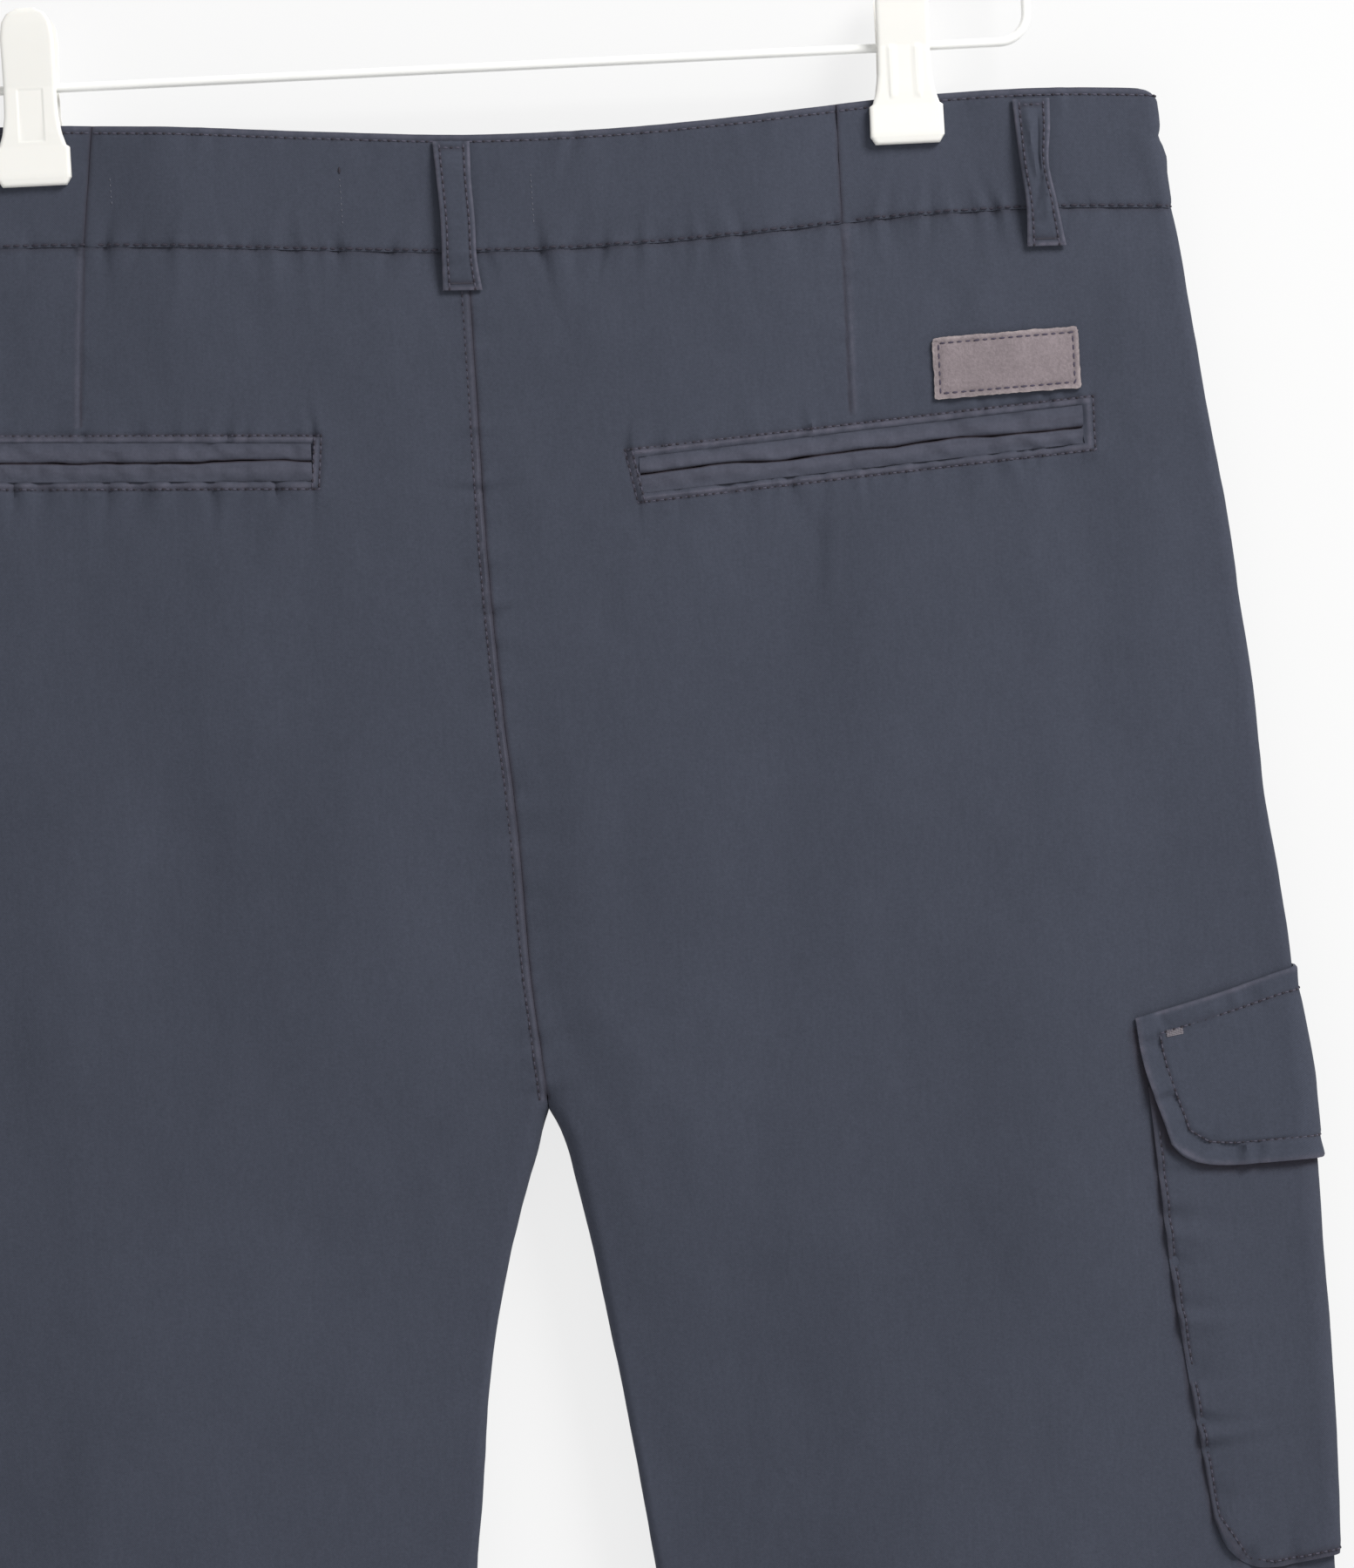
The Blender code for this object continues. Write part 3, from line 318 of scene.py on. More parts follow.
def fold_height(face, across, down):
    """How far the large folds lift the cloth at a place on the back or on the front."""
    height = np.zeros(np.broadcast(across, down).shape)
    for x_a, down_a, x_b, down_b, width, rise in BACK_FOLDS if face < 0 else FRONT_FOLDS:
        length = math.hypot(x_b - x_a, down_b - down_a)
        unit = ((x_b - x_a) / length, (down_b - down_a) / length)
        along = (across - x_a) * unit[0] + (down - down_a) * unit[1]
        off = (across - x_a) * unit[1] - (down - down_a) * unit[0]
        ends = smooth(along / FOLD_END + 1) * smooth((length - along) / FOLD_END + 1)
        height = height + rise * bell(off, width) * ends
    return height


def pinch(across, down):
    """1 where a clip holds the waistband flat, falling to 0 away from it."""
    off = np.abs(np.abs(across) - CLIP_X) - CLIP_PLATEAU
    return smooth(1 - off / CLIP_FADE) * smooth(1 - (down - PINCH_DOWN) / PINCH_FADE)


def depth_at(side, face, across, down):
    """Half the garment's depth at a place, leaving out the rounding at its folds."""
    inner, outer, full, legs, _, start, end = spans(side, down)
    seat = np.clip((across - inner) / (end - inner), 0, 1)
    leg = np.clip((across - (start + end) / 2) / (np.abs(end - start) / 2), -1, 1)
    crown = (1 - legs) * (1 - seat**2) ** 1.5 + legs * (1 - leg**2) ** 1.5
    depth = FOLD_RADIUS + (full - FOLD_RADIUS) * crown
    depth = depth + (CLIP_CLOTH - depth) * pinch(across, down)
    clear = smooth((np.abs(outer - across) - FOLD_EDGE) / FOLD_CLEAR)
    return depth + fold_height(face, across, down) * clear


def share_of(around):
    """0 at the inner edge and 1 at the outer fold, on the back (to 1) and on the front (to 2)."""
    return np.where(around <= 1, around, 2 - around)


def section(side, around, down):
    """x and y of the cloth's outer face at one height, before the seams are parted."""
    around, down = arrays(around, down)
    share = share_of(around)
    inner, outer, _, _, inner_round, start, end = spans(side, down)

    turned = np.clip((down - FORK + FORK_ROUND) / FORK_ROUND, 1e-3, 1.0)
    first = np.arccos(turned)
    sweep = first + np.clip(share / INNER_SHARE, 0, 1) * (math.pi / 2 - first)
    x_inner = inner + side * inner_round * (turned - np.cos(sweep)) / turned
    x_flat = mix(start, end, np.clip((share - INNER_SHARE) / (1 - OUTER_SHARE - INNER_SHARE), 0, 1))
    turn = np.clip((1 - share) / OUTER_SHARE, 0, 1) * math.pi / 2
    x_outer = outer - side * FOLD_RADIUS * (1 - np.cos(turn))

    on_inner, on_outer = share < INNER_SHARE, share > 1 - OUTER_SHARE
    x = np.where(on_inner, x_inner, np.where(on_outer, x_outer, x_flat))
    dip = np.where(on_inner, np.sin(sweep), np.where(on_outer, np.sin(turn), 1))
    return x, np.where(around <= 1, -depth_at(side, -1, x, down), depth_at(side, 1, x, down)) * dip


def raised(across, down):
    """How far the clips move a place up (negative) from its nominal height."""
    return read(WAIST_LINE, "rise", across) * (1 - smooth(down / RISE_FADE))


def drop(around, across, down):
    """Real height below the waist, once the clips have pulled the waist line up."""
    fade = 1 - smooth(down / RISE_FADE)
    dip = FRONT_DIP * np.clip(1 - (across / CLIP_X) ** 2, 0, 1) * smooth((around - 1) / DIP_EASE)
    return down + raised(across, down) + dip * fade


def across_of(side, around, down):
    """x of a place on the cloth before it is lifted."""
    return section(side, around, down)[0]


def turn_of(side, around, down):
    """Distance round from the outer fold; the back is negative."""
    around, down = arrays(around, down)
    share = share_of(around)
    on_flat = QUARTER + side * (edges(side, down)[1] - across_of(side, around, down)) - FOLD_RADIUS
    on_fold = QUARTER * (1 - share) / OUTER_SHARE
    return np.where(share > 1 - OUTER_SHARE, on_fold, on_flat) * np.where(around <= 1, -1, 1)


def past_fold(side, turn, down):
    """x on the back of a distance round from the outer fold; beyond the fold it runs on."""
    return edges(side, down)[1] + side * (turn + QUARTER - FOLD_RADIUS)


def unrolled(side, around, down):
    return past_fold(side, turn_of(side, around, down), down)


def rumpling(side, around, down):
    """How far the garment's own unevenness stands out, which every piece on it follows."""
    across = across_of(side, around, down)
    u, v = unrolled(side, around, down), drop(around, across, down)
    height = np.zeros(u.shape)
    for k, wave in enumerate(RUMPLES):
        height += wave.height * noise(u / wave.across, v / wave.along, RUMPLE_SEED + k)
    free = smooth((down - BAND_HEIGHT + SLACK_STARTS_ABOVE) / SLACK_EASE)
    slack = mix(BAND_SLACK, 1.0, free) * (1 - pinch(across, down))
    from_inner = smooth(share_of(around) / INSEAM_EASE)
    on_leg = smooth((down - FORK + LEG_STARTS_ABOVE) / LEG_EASE)
    joined = np.where(around <= 1, mix(1.0, from_inner, on_leg), from_inner)
    return height * slack * joined * settings().rumple


def settings():
    return bpy.context.scene.shorts_settings


def skin(side, around, down, lift=0.0):
    """Points of the cloth's surface in metres, moved `lift` mm out along the section's normal."""
    around, down, lift = arrays(around, down, lift)
    around = np.clip(around, 0, 2)
    lift = lift + rumpling(side, around, down)
    step = 1e-4
    ahead = section(side, np.clip(around + step, 0, 2), down)
    behind = section(side, np.clip(around - step, 0, 2), down)
    run, rise = ahead[0] - behind[0], ahead[1] - behind[1]
    length = np.maximum(np.hypot(run, rise), 1e-9)
    x, y = section(side, around, down)
    parted = np.maximum(np.abs(y), HALF_GAP) * np.where(around <= 1, -1, 1)
    x_out = x + side * rise / length * lift
    y_out = parted - side * run / length * lift
    return np.stack([x_out * MM, y_out * MM, (WAIST_TOP_Z - drop(around, x, down)) * MM], axis=-1)


def around_at(side, face, across, down):
    """`around` of a place that is given by its x, on the flat of the back (-1) or front (+1)."""
    inner, _, _, _, _, start, end = spans(side, down)
    in_seat = INNER_SHARE * (across - inner) / (start - inner)
    on_flat = INNER_SHARE + (1 - OUTER_SHARE - INNER_SHARE) * (across - start) / (end - start)
    share = np.where((across - start) * side < 0, in_seat, on_flat)
    return share if face < 0 else 2 - share


def around_from_fold(side, turn, down):
    """`around` of a place given by its distance round from the outer fold; back is negative."""
    beyond = np.maximum(np.abs(turn) - QUARTER, 0)
    across = edges(side, down)[1] - side * (FOLD_RADIUS + beyond)
    on_fold = 1 - OUTER_SHARE * np.abs(turn) / QUARTER
    share = np.where(np.abs(turn) < QUARTER, on_fold, around_at(side, -1, across, down))
    return np.where(np.asarray(turn) < 0, share, 2 - share)


def nominal(across, down):
    """`down` of a place whose real height below the waist is given."""
    guess = np.asarray(down, float)
    for _ in range(6):
        guess = down - raised(across, guess)
    return guess


def on_level(face, across, level, lift):
    """A point given by its x and nominal height, on the back (-1) or front (+1), moved out."""
    across, level, lift = arrays(across, level, lift)
    right, left = (
        skin(side, around_at(side, face, across, level), level, lift) for side in (1, -1)
    )
    return np.where((across > read(SECTIONS, "centre", level))[..., None], right, left)


def on_face(face, across, down, lift):
    """A point given by its x and real height, on the back (-1) or front (+1), moved out."""
    across, down, lift = arrays(across, down, lift)
    return on_level(face, across, nominal(across, down), lift)


# ---- relief: seams, gathers and creases

# A line raises (or sinks) the cloth along a path, paints shade on it (shade), and chalks its
# dye (wear).
Line = namedtuple("Line", "path height width shade wear", defaults=(0.0, 0.0))
# Gathers run off a seam: to its right (+1), its left (-1) or both (0), dying out over their reach.
# `phase` is how far along a shared seam the path starts, so that both pieces pucker together.
Gather = namedtuple("Gather", "path hand reach pitch height seed phase", defaults=(0, 0.0))
Row = namedtuple("Row", "kind path")  # a stitched row
Rumple = namedtuple("Rumple", "across along height")
RUMPLES = (Rumple(46, 88, 1.3), Rumple(22, 39, 0.55))  # of the whole garment
FINE_RUMPLES = (Rumple(10, 17, 0.20), Rumple(5.0, 6.4, 0.07))  # of each piece by itself
RUMPLE_SEED, BAND_SLACK = 11, 0.4
SLACK_STARTS_ABOVE, SLACK_EASE = 6, 26  # the band's foot, where the cloth begins to hang free
INSEAM_EASE, LEG_STARTS_ABOVE, LEG_EASE = 0.12, 60, 50  # the inseam holds the legs' cloth flat
# Gathers sway by a share of their distance off, over waves this long; their reach and height vary.
SWAY, SWAY_PITCH, REACH_VARIES, REACH_PITCH = 0.35, 9.0, 0.5, 7.0
LEAST_GATHER, GATHER_VARIES, GATHERS_TO_A_BUNCH = 0.35, 0.65, 4.3
LEAST_WEAR, WEAR_VARIES, WEAR_PITCH = 0.55, 0.95, 2.6
THREAD_STEP = 1.2  # between the points that carry a row of stitches
THREAD_RISE = 0.05
SHORTEST_CUT = 0.0105  # metres: a lip of a welt is folded from a strip at least this deep


def beside(path, u, v):
    """How far along a path the point nearest to a place lies, how far off, and on which hand."""
    best = np.full(np.shape(u), np.inf)
    along, hand, start = np.zeros(np.shape(u)), np.zeros(np.shape(u)), 0.0
    for (ua, va), (ub, vb) in zip(path[:-1], path[1:]):
        length = math.hypot(ub - ua, vb - va)
        tu, tv = (ub - ua) / length, (vb - va) / length
        t = np.clip((u - ua) * tu + (v - va) * tv, 0, length)
        du, dv = u - ua - t * tu, v - va - t * tv
        off = np.hypot(du, dv)
        nearer = off < best
        best = np.where(nearer, off, best)
        along = np.where(nearer, start + t, along)
        hand = np.where(nearer, np.sign(dv * tu - du * tv), hand)
        start += length
    return along, best, hand


def spread(path, step):
    """A path's points, with more between them so that none lie further apart than step."""
    points = [path[0]]
    for a, b in zip(path[:-1], path[1:]):
        count = max(1, math.ceil(math.hypot(b[0] - a[0], b[1] - a[1]) / step))
        points += [
            (mix(a[0], b[0], k / count), mix(a[1], b[1], k / count)) for k in range(1, count + 1)
        ]
    return np.array(points)


def inset(path, amount):
    """A path moved sideways: to the right of its direction, as seen with v running down."""
    points = np.array(path, float)
    steps = np.diff(points, axis=0)
    steps /= np.linalg.norm(steps, axis=1)[:, None]
    before, after = np.vstack([steps[:1], steps]), np.vstack([steps, steps[-1:]])
    turn = before + after
    turn /= np.linalg.norm(turn, axis=1)[:, None]
    stretch = 1 / np.clip((turn * before).sum(1), 0.5, 1)
    sideways = np.stack([-turn[:, 1], turn[:, 0]], axis=1)
    return [tuple(p) for p in points + sideways * (amount * stretch)[:, None]]


class Cloth:
    """A cut piece of cloth: `at(u, v, lift)` gives its points; u and v are millimetres on it.

    A crease is a row of u and v at both its ends, its width and its height."""

    def __init__(self, at, seed, lines, gathers, creases, rows, slack=1.0):
        self.at, self.seed, self.lines, self.gathers = at, seed, lines, gathers
        self.creases, self.rows, self.slack = creases, rows, slack

    def relief(self, u, v):
        """How far the cloth's face stands out at places on it, in millimetres."""
        u, v = arrays(u, v)
        height = np.zeros(u.shape)
        for k, wave in enumerate(FINE_RUMPLES):
            height += (
                self.slack * wave.height * noise(u / wave.across, v / wave.along, self.seed + k)
            )
        for line in self.lines:
            height += line.height * bell(beside(line.path, u, v)[1], line.width)
        for k, gather in enumerate(self.gathers):
            along, off, hand = beside(gather.path, u, v)
            seed = gather.seed or self.seed + k
            along = along + gather.phase + SWAY * off * ripple(along, SWAY_PITCH, seed + 90)
            varied = 1 + REACH_VARIES * ripple(along, REACH_PITCH, seed + 70)
            reach = np.exp(-off / (gather.reach * varied))
            if gather.hand:
                reach = reach * (hand * gather.hand > 0) * smooth(off)
            bunched = np.abs(ripple(along, GATHERS_TO_A_BUNCH * gather.pitch, seed + 50))
            uneven = LEAST_GATHER + GATHER_VARIES * bunched
            height += gather.height * uneven * ripple(along, gather.pitch, seed) * reach
        for u_a, v_a, u_b, v_b, width, rise in self.creases:
            along, off, _ = beside(((u_a, v_a), (u_b, v_b)), u, v)
            length = math.hypot(u_b - u_a, v_b - v_a)
            ends = np.sqrt(np.sin(math.pi * np.clip(along / length, 0, 1)))
            height += rise * ends * bell(off, width)
        return height

    def marks(self, u, v):
        """How much painted shade darkens the cloth and how much it is chalked, from 0 to 1."""
        u, v = arrays(u, v)
        shade, wear = np.zeros(u.shape), np.zeros(u.shape)
        for k, line in enumerate(self.lines):
            along, off, _ = beside(line.path, u, v)
            near = bell(off, line.width)
            rubbed = (
                LEAST_WEAR + WEAR_VARIES * np.abs(ripple(along, WEAR_PITCH, self.seed + k + 30))
            )
            shade = np.maximum(shade, line.shade * near)
            wear = np.maximum(wear, line.wear * near * rubbed)
        return np.stack([shade, wear], axis=-1)

    def thread(self, path):
        """Points in metres along a stitched row, lying on the cloth's relief."""
        u, v = spread(path, THREAD_STEP).T
        return self.at(u, v, self.relief(u, v) + THREAD_RISE)


# ---- making meshes


def new_object(name, data):
    piece = bpy.data.objects.new(name, data)
    bpy.context.scene.collection.objects.link(piece)
    return piece


def mesh_piece(name, points, faces, slot, sharp=50):
    """An object at the origin, shaded smooth but for edges turned more than `sharp` degrees."""
    mesh = bpy.data.meshes.new(name)
    mesh.from_pydata(np.asarray(points).tolist(), [], faces)
    mesh.materials.append(MATERIALS[slot])
    mesh.shade_smooth()
    mesh.set_sharp_from_angle(angle=math.radians(sharp))
    return new_object(name, mesh)


def facing_out(points, faces):
    """The faces of a closed mesh, turned over if they face in."""
    faces = np.asarray(faces)
    a, b, c, d = (points[faces[:, k]] for k in range(4))
    volume = (
        np.einsum("ij,ij->i", a, np.cross(b, c)).sum()
        + np.einsum("ij,ij->i", a, np.cross(c, d)).sum()
    )
    return faces if volume > 0 else faces[:, ::-1]


def wall_faces(rows, columns, opening=None):
    """Quads of a closed wall between two grids of points; `opening` is the cells left out."""
    kept = np.ones((rows - 1, columns - 1), bool)
    if opening is not None:
        kept[opening] = False
    index = np.arange(rows * columns).reshape(rows, columns)
    a, b, c, d = index[:-1, :-1], index[:-1, 1:], index[1:, :-1], index[1:, 1:]
    under = rows * columns
    faces = [np.stack([a, b, d, c], -1)[kept], np.stack([a, c, d, b], -1)[kept] + under]
    around = np.pad(kept, 1)
    rims = (
        (around[:-2, 1:-1], a, b),
        (around[1:-1, 2:], b, d),
        (around[2:, 1:-1], d, c),
        (around[1:-1, :-2], c, a),
    )
    for neighbour, p, q in rims:
        open_edge = kept & ~neighbour
        p, q = p[open_edge], q[open_edge]
        faces.append(np.stack([q, p, p + under, q + under], -1))
    return np.concatenate(faces)


def wall_piece(name, outside, inside, slot, flat=None, marks=None, opening=None, sharp=50):
    """A closed wall; `flat` is each outer point on the cloth, `marks` its painted shade and wear.
    """
    rows, columns = outside.shape[:2]
    points = np.concatenate([outside.reshape(-1, 3), inside.reshape(-1, 3)])
    used, faces = np.unique(wall_faces(rows, columns, opening), return_inverse=True)
    points, faces = points[used], facing_out(points[used], faces.reshape(-1, 4))
    piece = mesh_piece(name, points, faces.tolist(), slot, sharp)
    if flat is not None:
        places = np.tile(np.stack(flat, -1).reshape(-1, 2), (2, 1))[used] * MM
        uv = piece.data.uv_layers.new(name="cloth")
        corners = np.zeros(len(piece.data.loops), np.int32)
        piece.data.loops.foreach_get("vertex_index", corners)
        uv.data.foreach_set("uv", places[corners].astype(np.float32).ravel())
        both = np.concatenate([marks.reshape(-1, 2), np.zeros((rows * columns, 2))])[used]
        for column, word in enumerate(("seam_shade", "seam_wear")):
            attribute = piece.data.attributes.new(word, "FLOAT", "POINT")
            attribute.data.foreach_set("value", both[:, column].astype(np.float32))
    return piece


def cut_size(grid, opening=None):
    """Width, length and area in metres of the cloth that a grid of points covers."""
    across = np.linalg.norm(np.diff(grid, axis=1), axis=2)
    along = np.linalg.norm(np.diff(grid, axis=0), axis=2)
    one, two = grid[1:, 1:] - grid[:-1, :-1], grid[1:, :-1] - grid[:-1, 1:]
    cells = np.linalg.norm(np.cross(one, two), axis=2) / 2
    if opening is not None:
        cells[opening] = 0
    width, length = float(across.sum(1).max()), float(along.sum(0).max())
    return width, length, min(float(cells.sum()), width * length)


def settle(piece, slot, *nodes):
    """Rides a finished piece on the body, in place of its CAD nodes."""
    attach(piece, BODY)
    if nodes:
        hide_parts(*nodes)


def sew(
    name, node, rests_on, outside, inside, flat, marks, slot="twill", held="hung", opening=None
):
    """A cloth piece in place of its CAD node."""
    piece = wall_piece(name, outside, inside, slot, flat, marks, opening)
    width, length, area = cut_size(outside, opening)
    length = max(length, SHORTEST_CUT)
    settle(piece, slot, node)


def wire_piece(name, node, path, closed=False, sides=16):
    """A round wire along points of the XZ plane, in metres, with domed ends if it is open."""
    path, radius = np.array(path, float), WIRE / 2 * MM
    if closed:
        tangents = np.roll(path, -1, 0) - np.roll(path, 1, 0)
        radii = np.full(len(path), radius)
    else:
        tangents = np.gradient(path, axis=0)
        lead, tail = path[1] - path[0], path[-1] - path[-2]
        lead, tail = lead / np.linalg.norm(lead), tail / np.linalg.norm(tail)
        dome = np.radians([88, 60, 30])
        first = [path[0] - lead * radius * math.sin(a) for a in dome]
        last = [path[-1] + tail * radius * math.sin(a) for a in dome[::-1]]
        path = np.vstack([first, path, last])
        tangents = np.vstack([[lead] * 3, tangents, [tail] * 3])
        shrink = radius * np.cos(dome)
        radii = np.concatenate([shrink, np.full(len(path) - 6, radius), shrink[::-1]])
    tangents /= np.linalg.norm(tangents, axis=1)[:, None]
    count = len(path)
    sideways = np.stack([tangents[:, 2], np.zeros(count), -tangents[:, 0]], axis=1)
    turn = (2 * math.pi * np.arange(sides) / sides)[None, :, None]
    ring = sideways[:, None] * np.cos(turn) + np.array([0, 1, 0]) * np.sin(turn)
    points = (path[:, None] + ring * radii[:, None, None]).reshape(-1, 3)
    rings = np.arange(count * sides).reshape(count, sides)
    starts = rings if closed else rings[:-1]
    ends = np.roll(rings, -1, 0) if closed else rings[1:]
    faces = np.stack([starts, np.roll(starts, -1, 1), np.roll(ends, -1, 1), ends], -1)
    faces = faces.reshape(-1, 4)
    faces = facing_out(points, faces).tolist()
    if not closed:
        turned_over = faces[0][0] == rings[0][1]
        faces.append(rings[0][:: 1 if turned_over else -1].tolist())
        faces.append(rings[-1][:: -1 if turned_over else 1].tolist())
    settle(mesh_piece(name, points, faces, "wire_coating"), "wire_coating", node)


def turned_mesh(profile, centre, axis, sides):
    """Points and faces of a ring turned about X, Y or Z from (radius, along) points in mm."""
    radius, along = np.array(profile, float).T
    turn = (2 * math.pi * np.arange(sides) / sides)[:, None]
    u, v = radius * np.cos(turn), radius * np.sin(turn)
    w = np.broadcast_to(along, u.shape)
    points = np.stack({"X": (w, u, v), "Y": (u, w, v), "Z": (u, v, w)}[axis], -1)
    points = ((points + np.array(centre)) * MM).reshape(-1, 3)
    index = np.arange(u.size).reshape(u.shape)
    nxt = np.roll(index, -1, 0)
    faces = np.stack([index, np.roll(index, -1, 1), np.roll(nxt, -1, 1), nxt], -1).reshape(-1, 4)
    return points, facing_out(points, faces)


def turned_piece(name, nodes, profile, centres, axis, sides, slot="clip_plastic", dye=None):
    """One mesh of the same turned shape at each centre, with its poles' double points merged."""
    points, faces = [], []
    for centre in centres:
        ring, quads = turned_mesh(profile, centre, axis, sides)
        faces += (quads + len(points)).tolist()
        points += ring.tolist()
    piece = mesh_piece(name, points, faces, dye or slot, 35)
    build = bmesh.new()
    build.from_mesh(piece.data)
    bmesh.ops.remove_doubles(build, verts=build.verts, dist=1e-6)
    bmesh.ops.dissolve_degenerate(build, edges=build.edges, dist=1e-7)
    bmesh.ops.recalc_face_normals(build, faces=build.faces)
    build.to_mesh(piece.data)
    build.free()
    settle(piece, slot, *nodes)


# ---- places on each cut piece


def slit_down(pocket, across):
    """Real height of a back pocket's slit at an x."""
    share = (across - pocket.inner_x) / (pocket.outer_x - pocket.inner_x)
    return mix(pocket.inner_down, pocket.outer_down, share)


def pocket_of(side):
    return next(pocket for pocket in BACK_POCKETS if pocket.side == side)


def centre_path(top, foot, beside_it=0.0):
    """A path beside the centre back seam."""
    levels = np.linspace(top, foot, 15)
    return [
        (float(x), float(v)) for x, v in zip(read(SECTIONS, "centre", levels) + beside_it, levels)
    ]


def band_path(start, end, down):
    """A path along the waistband at one distance below its top, in real heights."""
    return [(float(x), float(down + raised(x, down))) for x in np.linspace(start, end, 12)]


def pocket_box(pocket, out, past):
    """A closed path round a back pocket's slit, from its inner top corner, clockwise."""
    inner_top = pocket.border_top + pocket.side * (BORDER_END - past)
    inner_foot = pocket.border_foot + pocket.side * (BORDER_END - past)
    outer = pocket.outer_x + pocket.side * past
    corners = ((inner_top, -out), (outer, -out), (outer, out), (inner_foot, out), (inner_top, -out))
    return [(x, float(slit_down(pocket, x)) + off) for x, off in corners]


def hem_lines(side, reach):
    """The hem's stitched row and its rubbed edge."""
    row = ((side * reach, HEM_STITCH), (-side * 40.0, HEM_STITCH))
    edge = [(x, HEM_EDGE) for x, _ in row]
    return Line(row, -0.32, 0.7, 0.22), Line(edge, 0.25, 1.2, 0.0, 0.3)


# ---- the back panels

STITCH_INSET = 2.7  # of the centre back's topstitching, left of its seam
SEAM_TOP, SEAM_FOOT = BAND_HEIGHT - 2, FORK - 4
DART_STARTS_ABOVE, DART_FADES = 3, 4
WAIST_SEED, CENTRE_SEED = 401, 419  # of the puckers that both pieces at a seam share
SLANT_FADE = 62.0

BACK_CREASES = {
    +1: (
        (116.7, 131, 115.1, 169, 3.2, 0.55),
        (113.0, 128, 110.6, 160, 3.0, -0.45),
        (49.5, 133, 44.0, 171, 6.0, 0.5),
        (41.0, 136, 37.0, 176, 6.5, -0.4),
        (150.4, 90, 163.4, 57, 4.0, -0.5),
        (157.0, 74, 146.8, 99, 3.4, 0.45),
        (177.0, 43, 168.0, 72, 4.6, 0.4),
        (212.0, 46, 206.0, 98, 5.0, -0.45),
        (221.5, 44, 219.0, 92, 5.4, 0.45),
        (128.5, 108, 132.0, 128, 2.6, 0.35),
        (60.0, 60, 52.0, 104, 8.0, -0.35),
        (90.0, 43, 84.0, 84, 6.0, 0.35),
        (186.5, 121, 183.0, 158, 4.6, 0.4),
        (64.0, 131, 74.0, 158, 4.6, 0.3),
        (160.0, 121, 163.0, 149, 4.4, -0.35),
        (9.5, 96, 18.0, 150, 5.5, 0.4),
        (16.0, 300, 46.0, 366, 5.5, -0.55),
        (24.0, 292, 60.0, 344, 6.0, 0.5),
        (234.0, 250, 222.0, 300, 7.0, -0.4),
        (90.0, 470, 130.0, 512, 9.0, 0.4),
    ),
    -1: (
        (-30.0, 45, -34.0, 88, 5.6, 0.35),
        (-78.0, 42, -72.0, 78, 5.0, -0.35),
        (-108.0, 43, -104.0, 82, 5.4, 0.35),
        (-160.0, 46, -164.0, 88, 5.6, -0.4),
        (-178.0, 44, -174.0, 90, 5.0, 0.4),
        (-222.0, 48, -214.0, 104, 5.6, 0.45),
        (-66.0, 122, -78.0, 150, 4.6, 0.35),
        (-104.0, 120, -102.0, 152, 4.4, -0.3),
        (-160.0, 120, -158.0, 154, 4.6, 0.35),
        (-196.0, 119, -204.0, 160, 5.0, -0.35),
        (-8.0, 120, -20.0, 186, 6.4, -0.35),
        (-6.0, 282, -42.0, 336, 6.0, 0.45),
        (-12.0, 312, -48.0, 352, 5.5, -0.5),
        (-212.0, 330, -188.0, 420, 9.0, -0.4),
        (-100.0, 470, -134.0, 520, 9.0, 0.4),
    ),
}


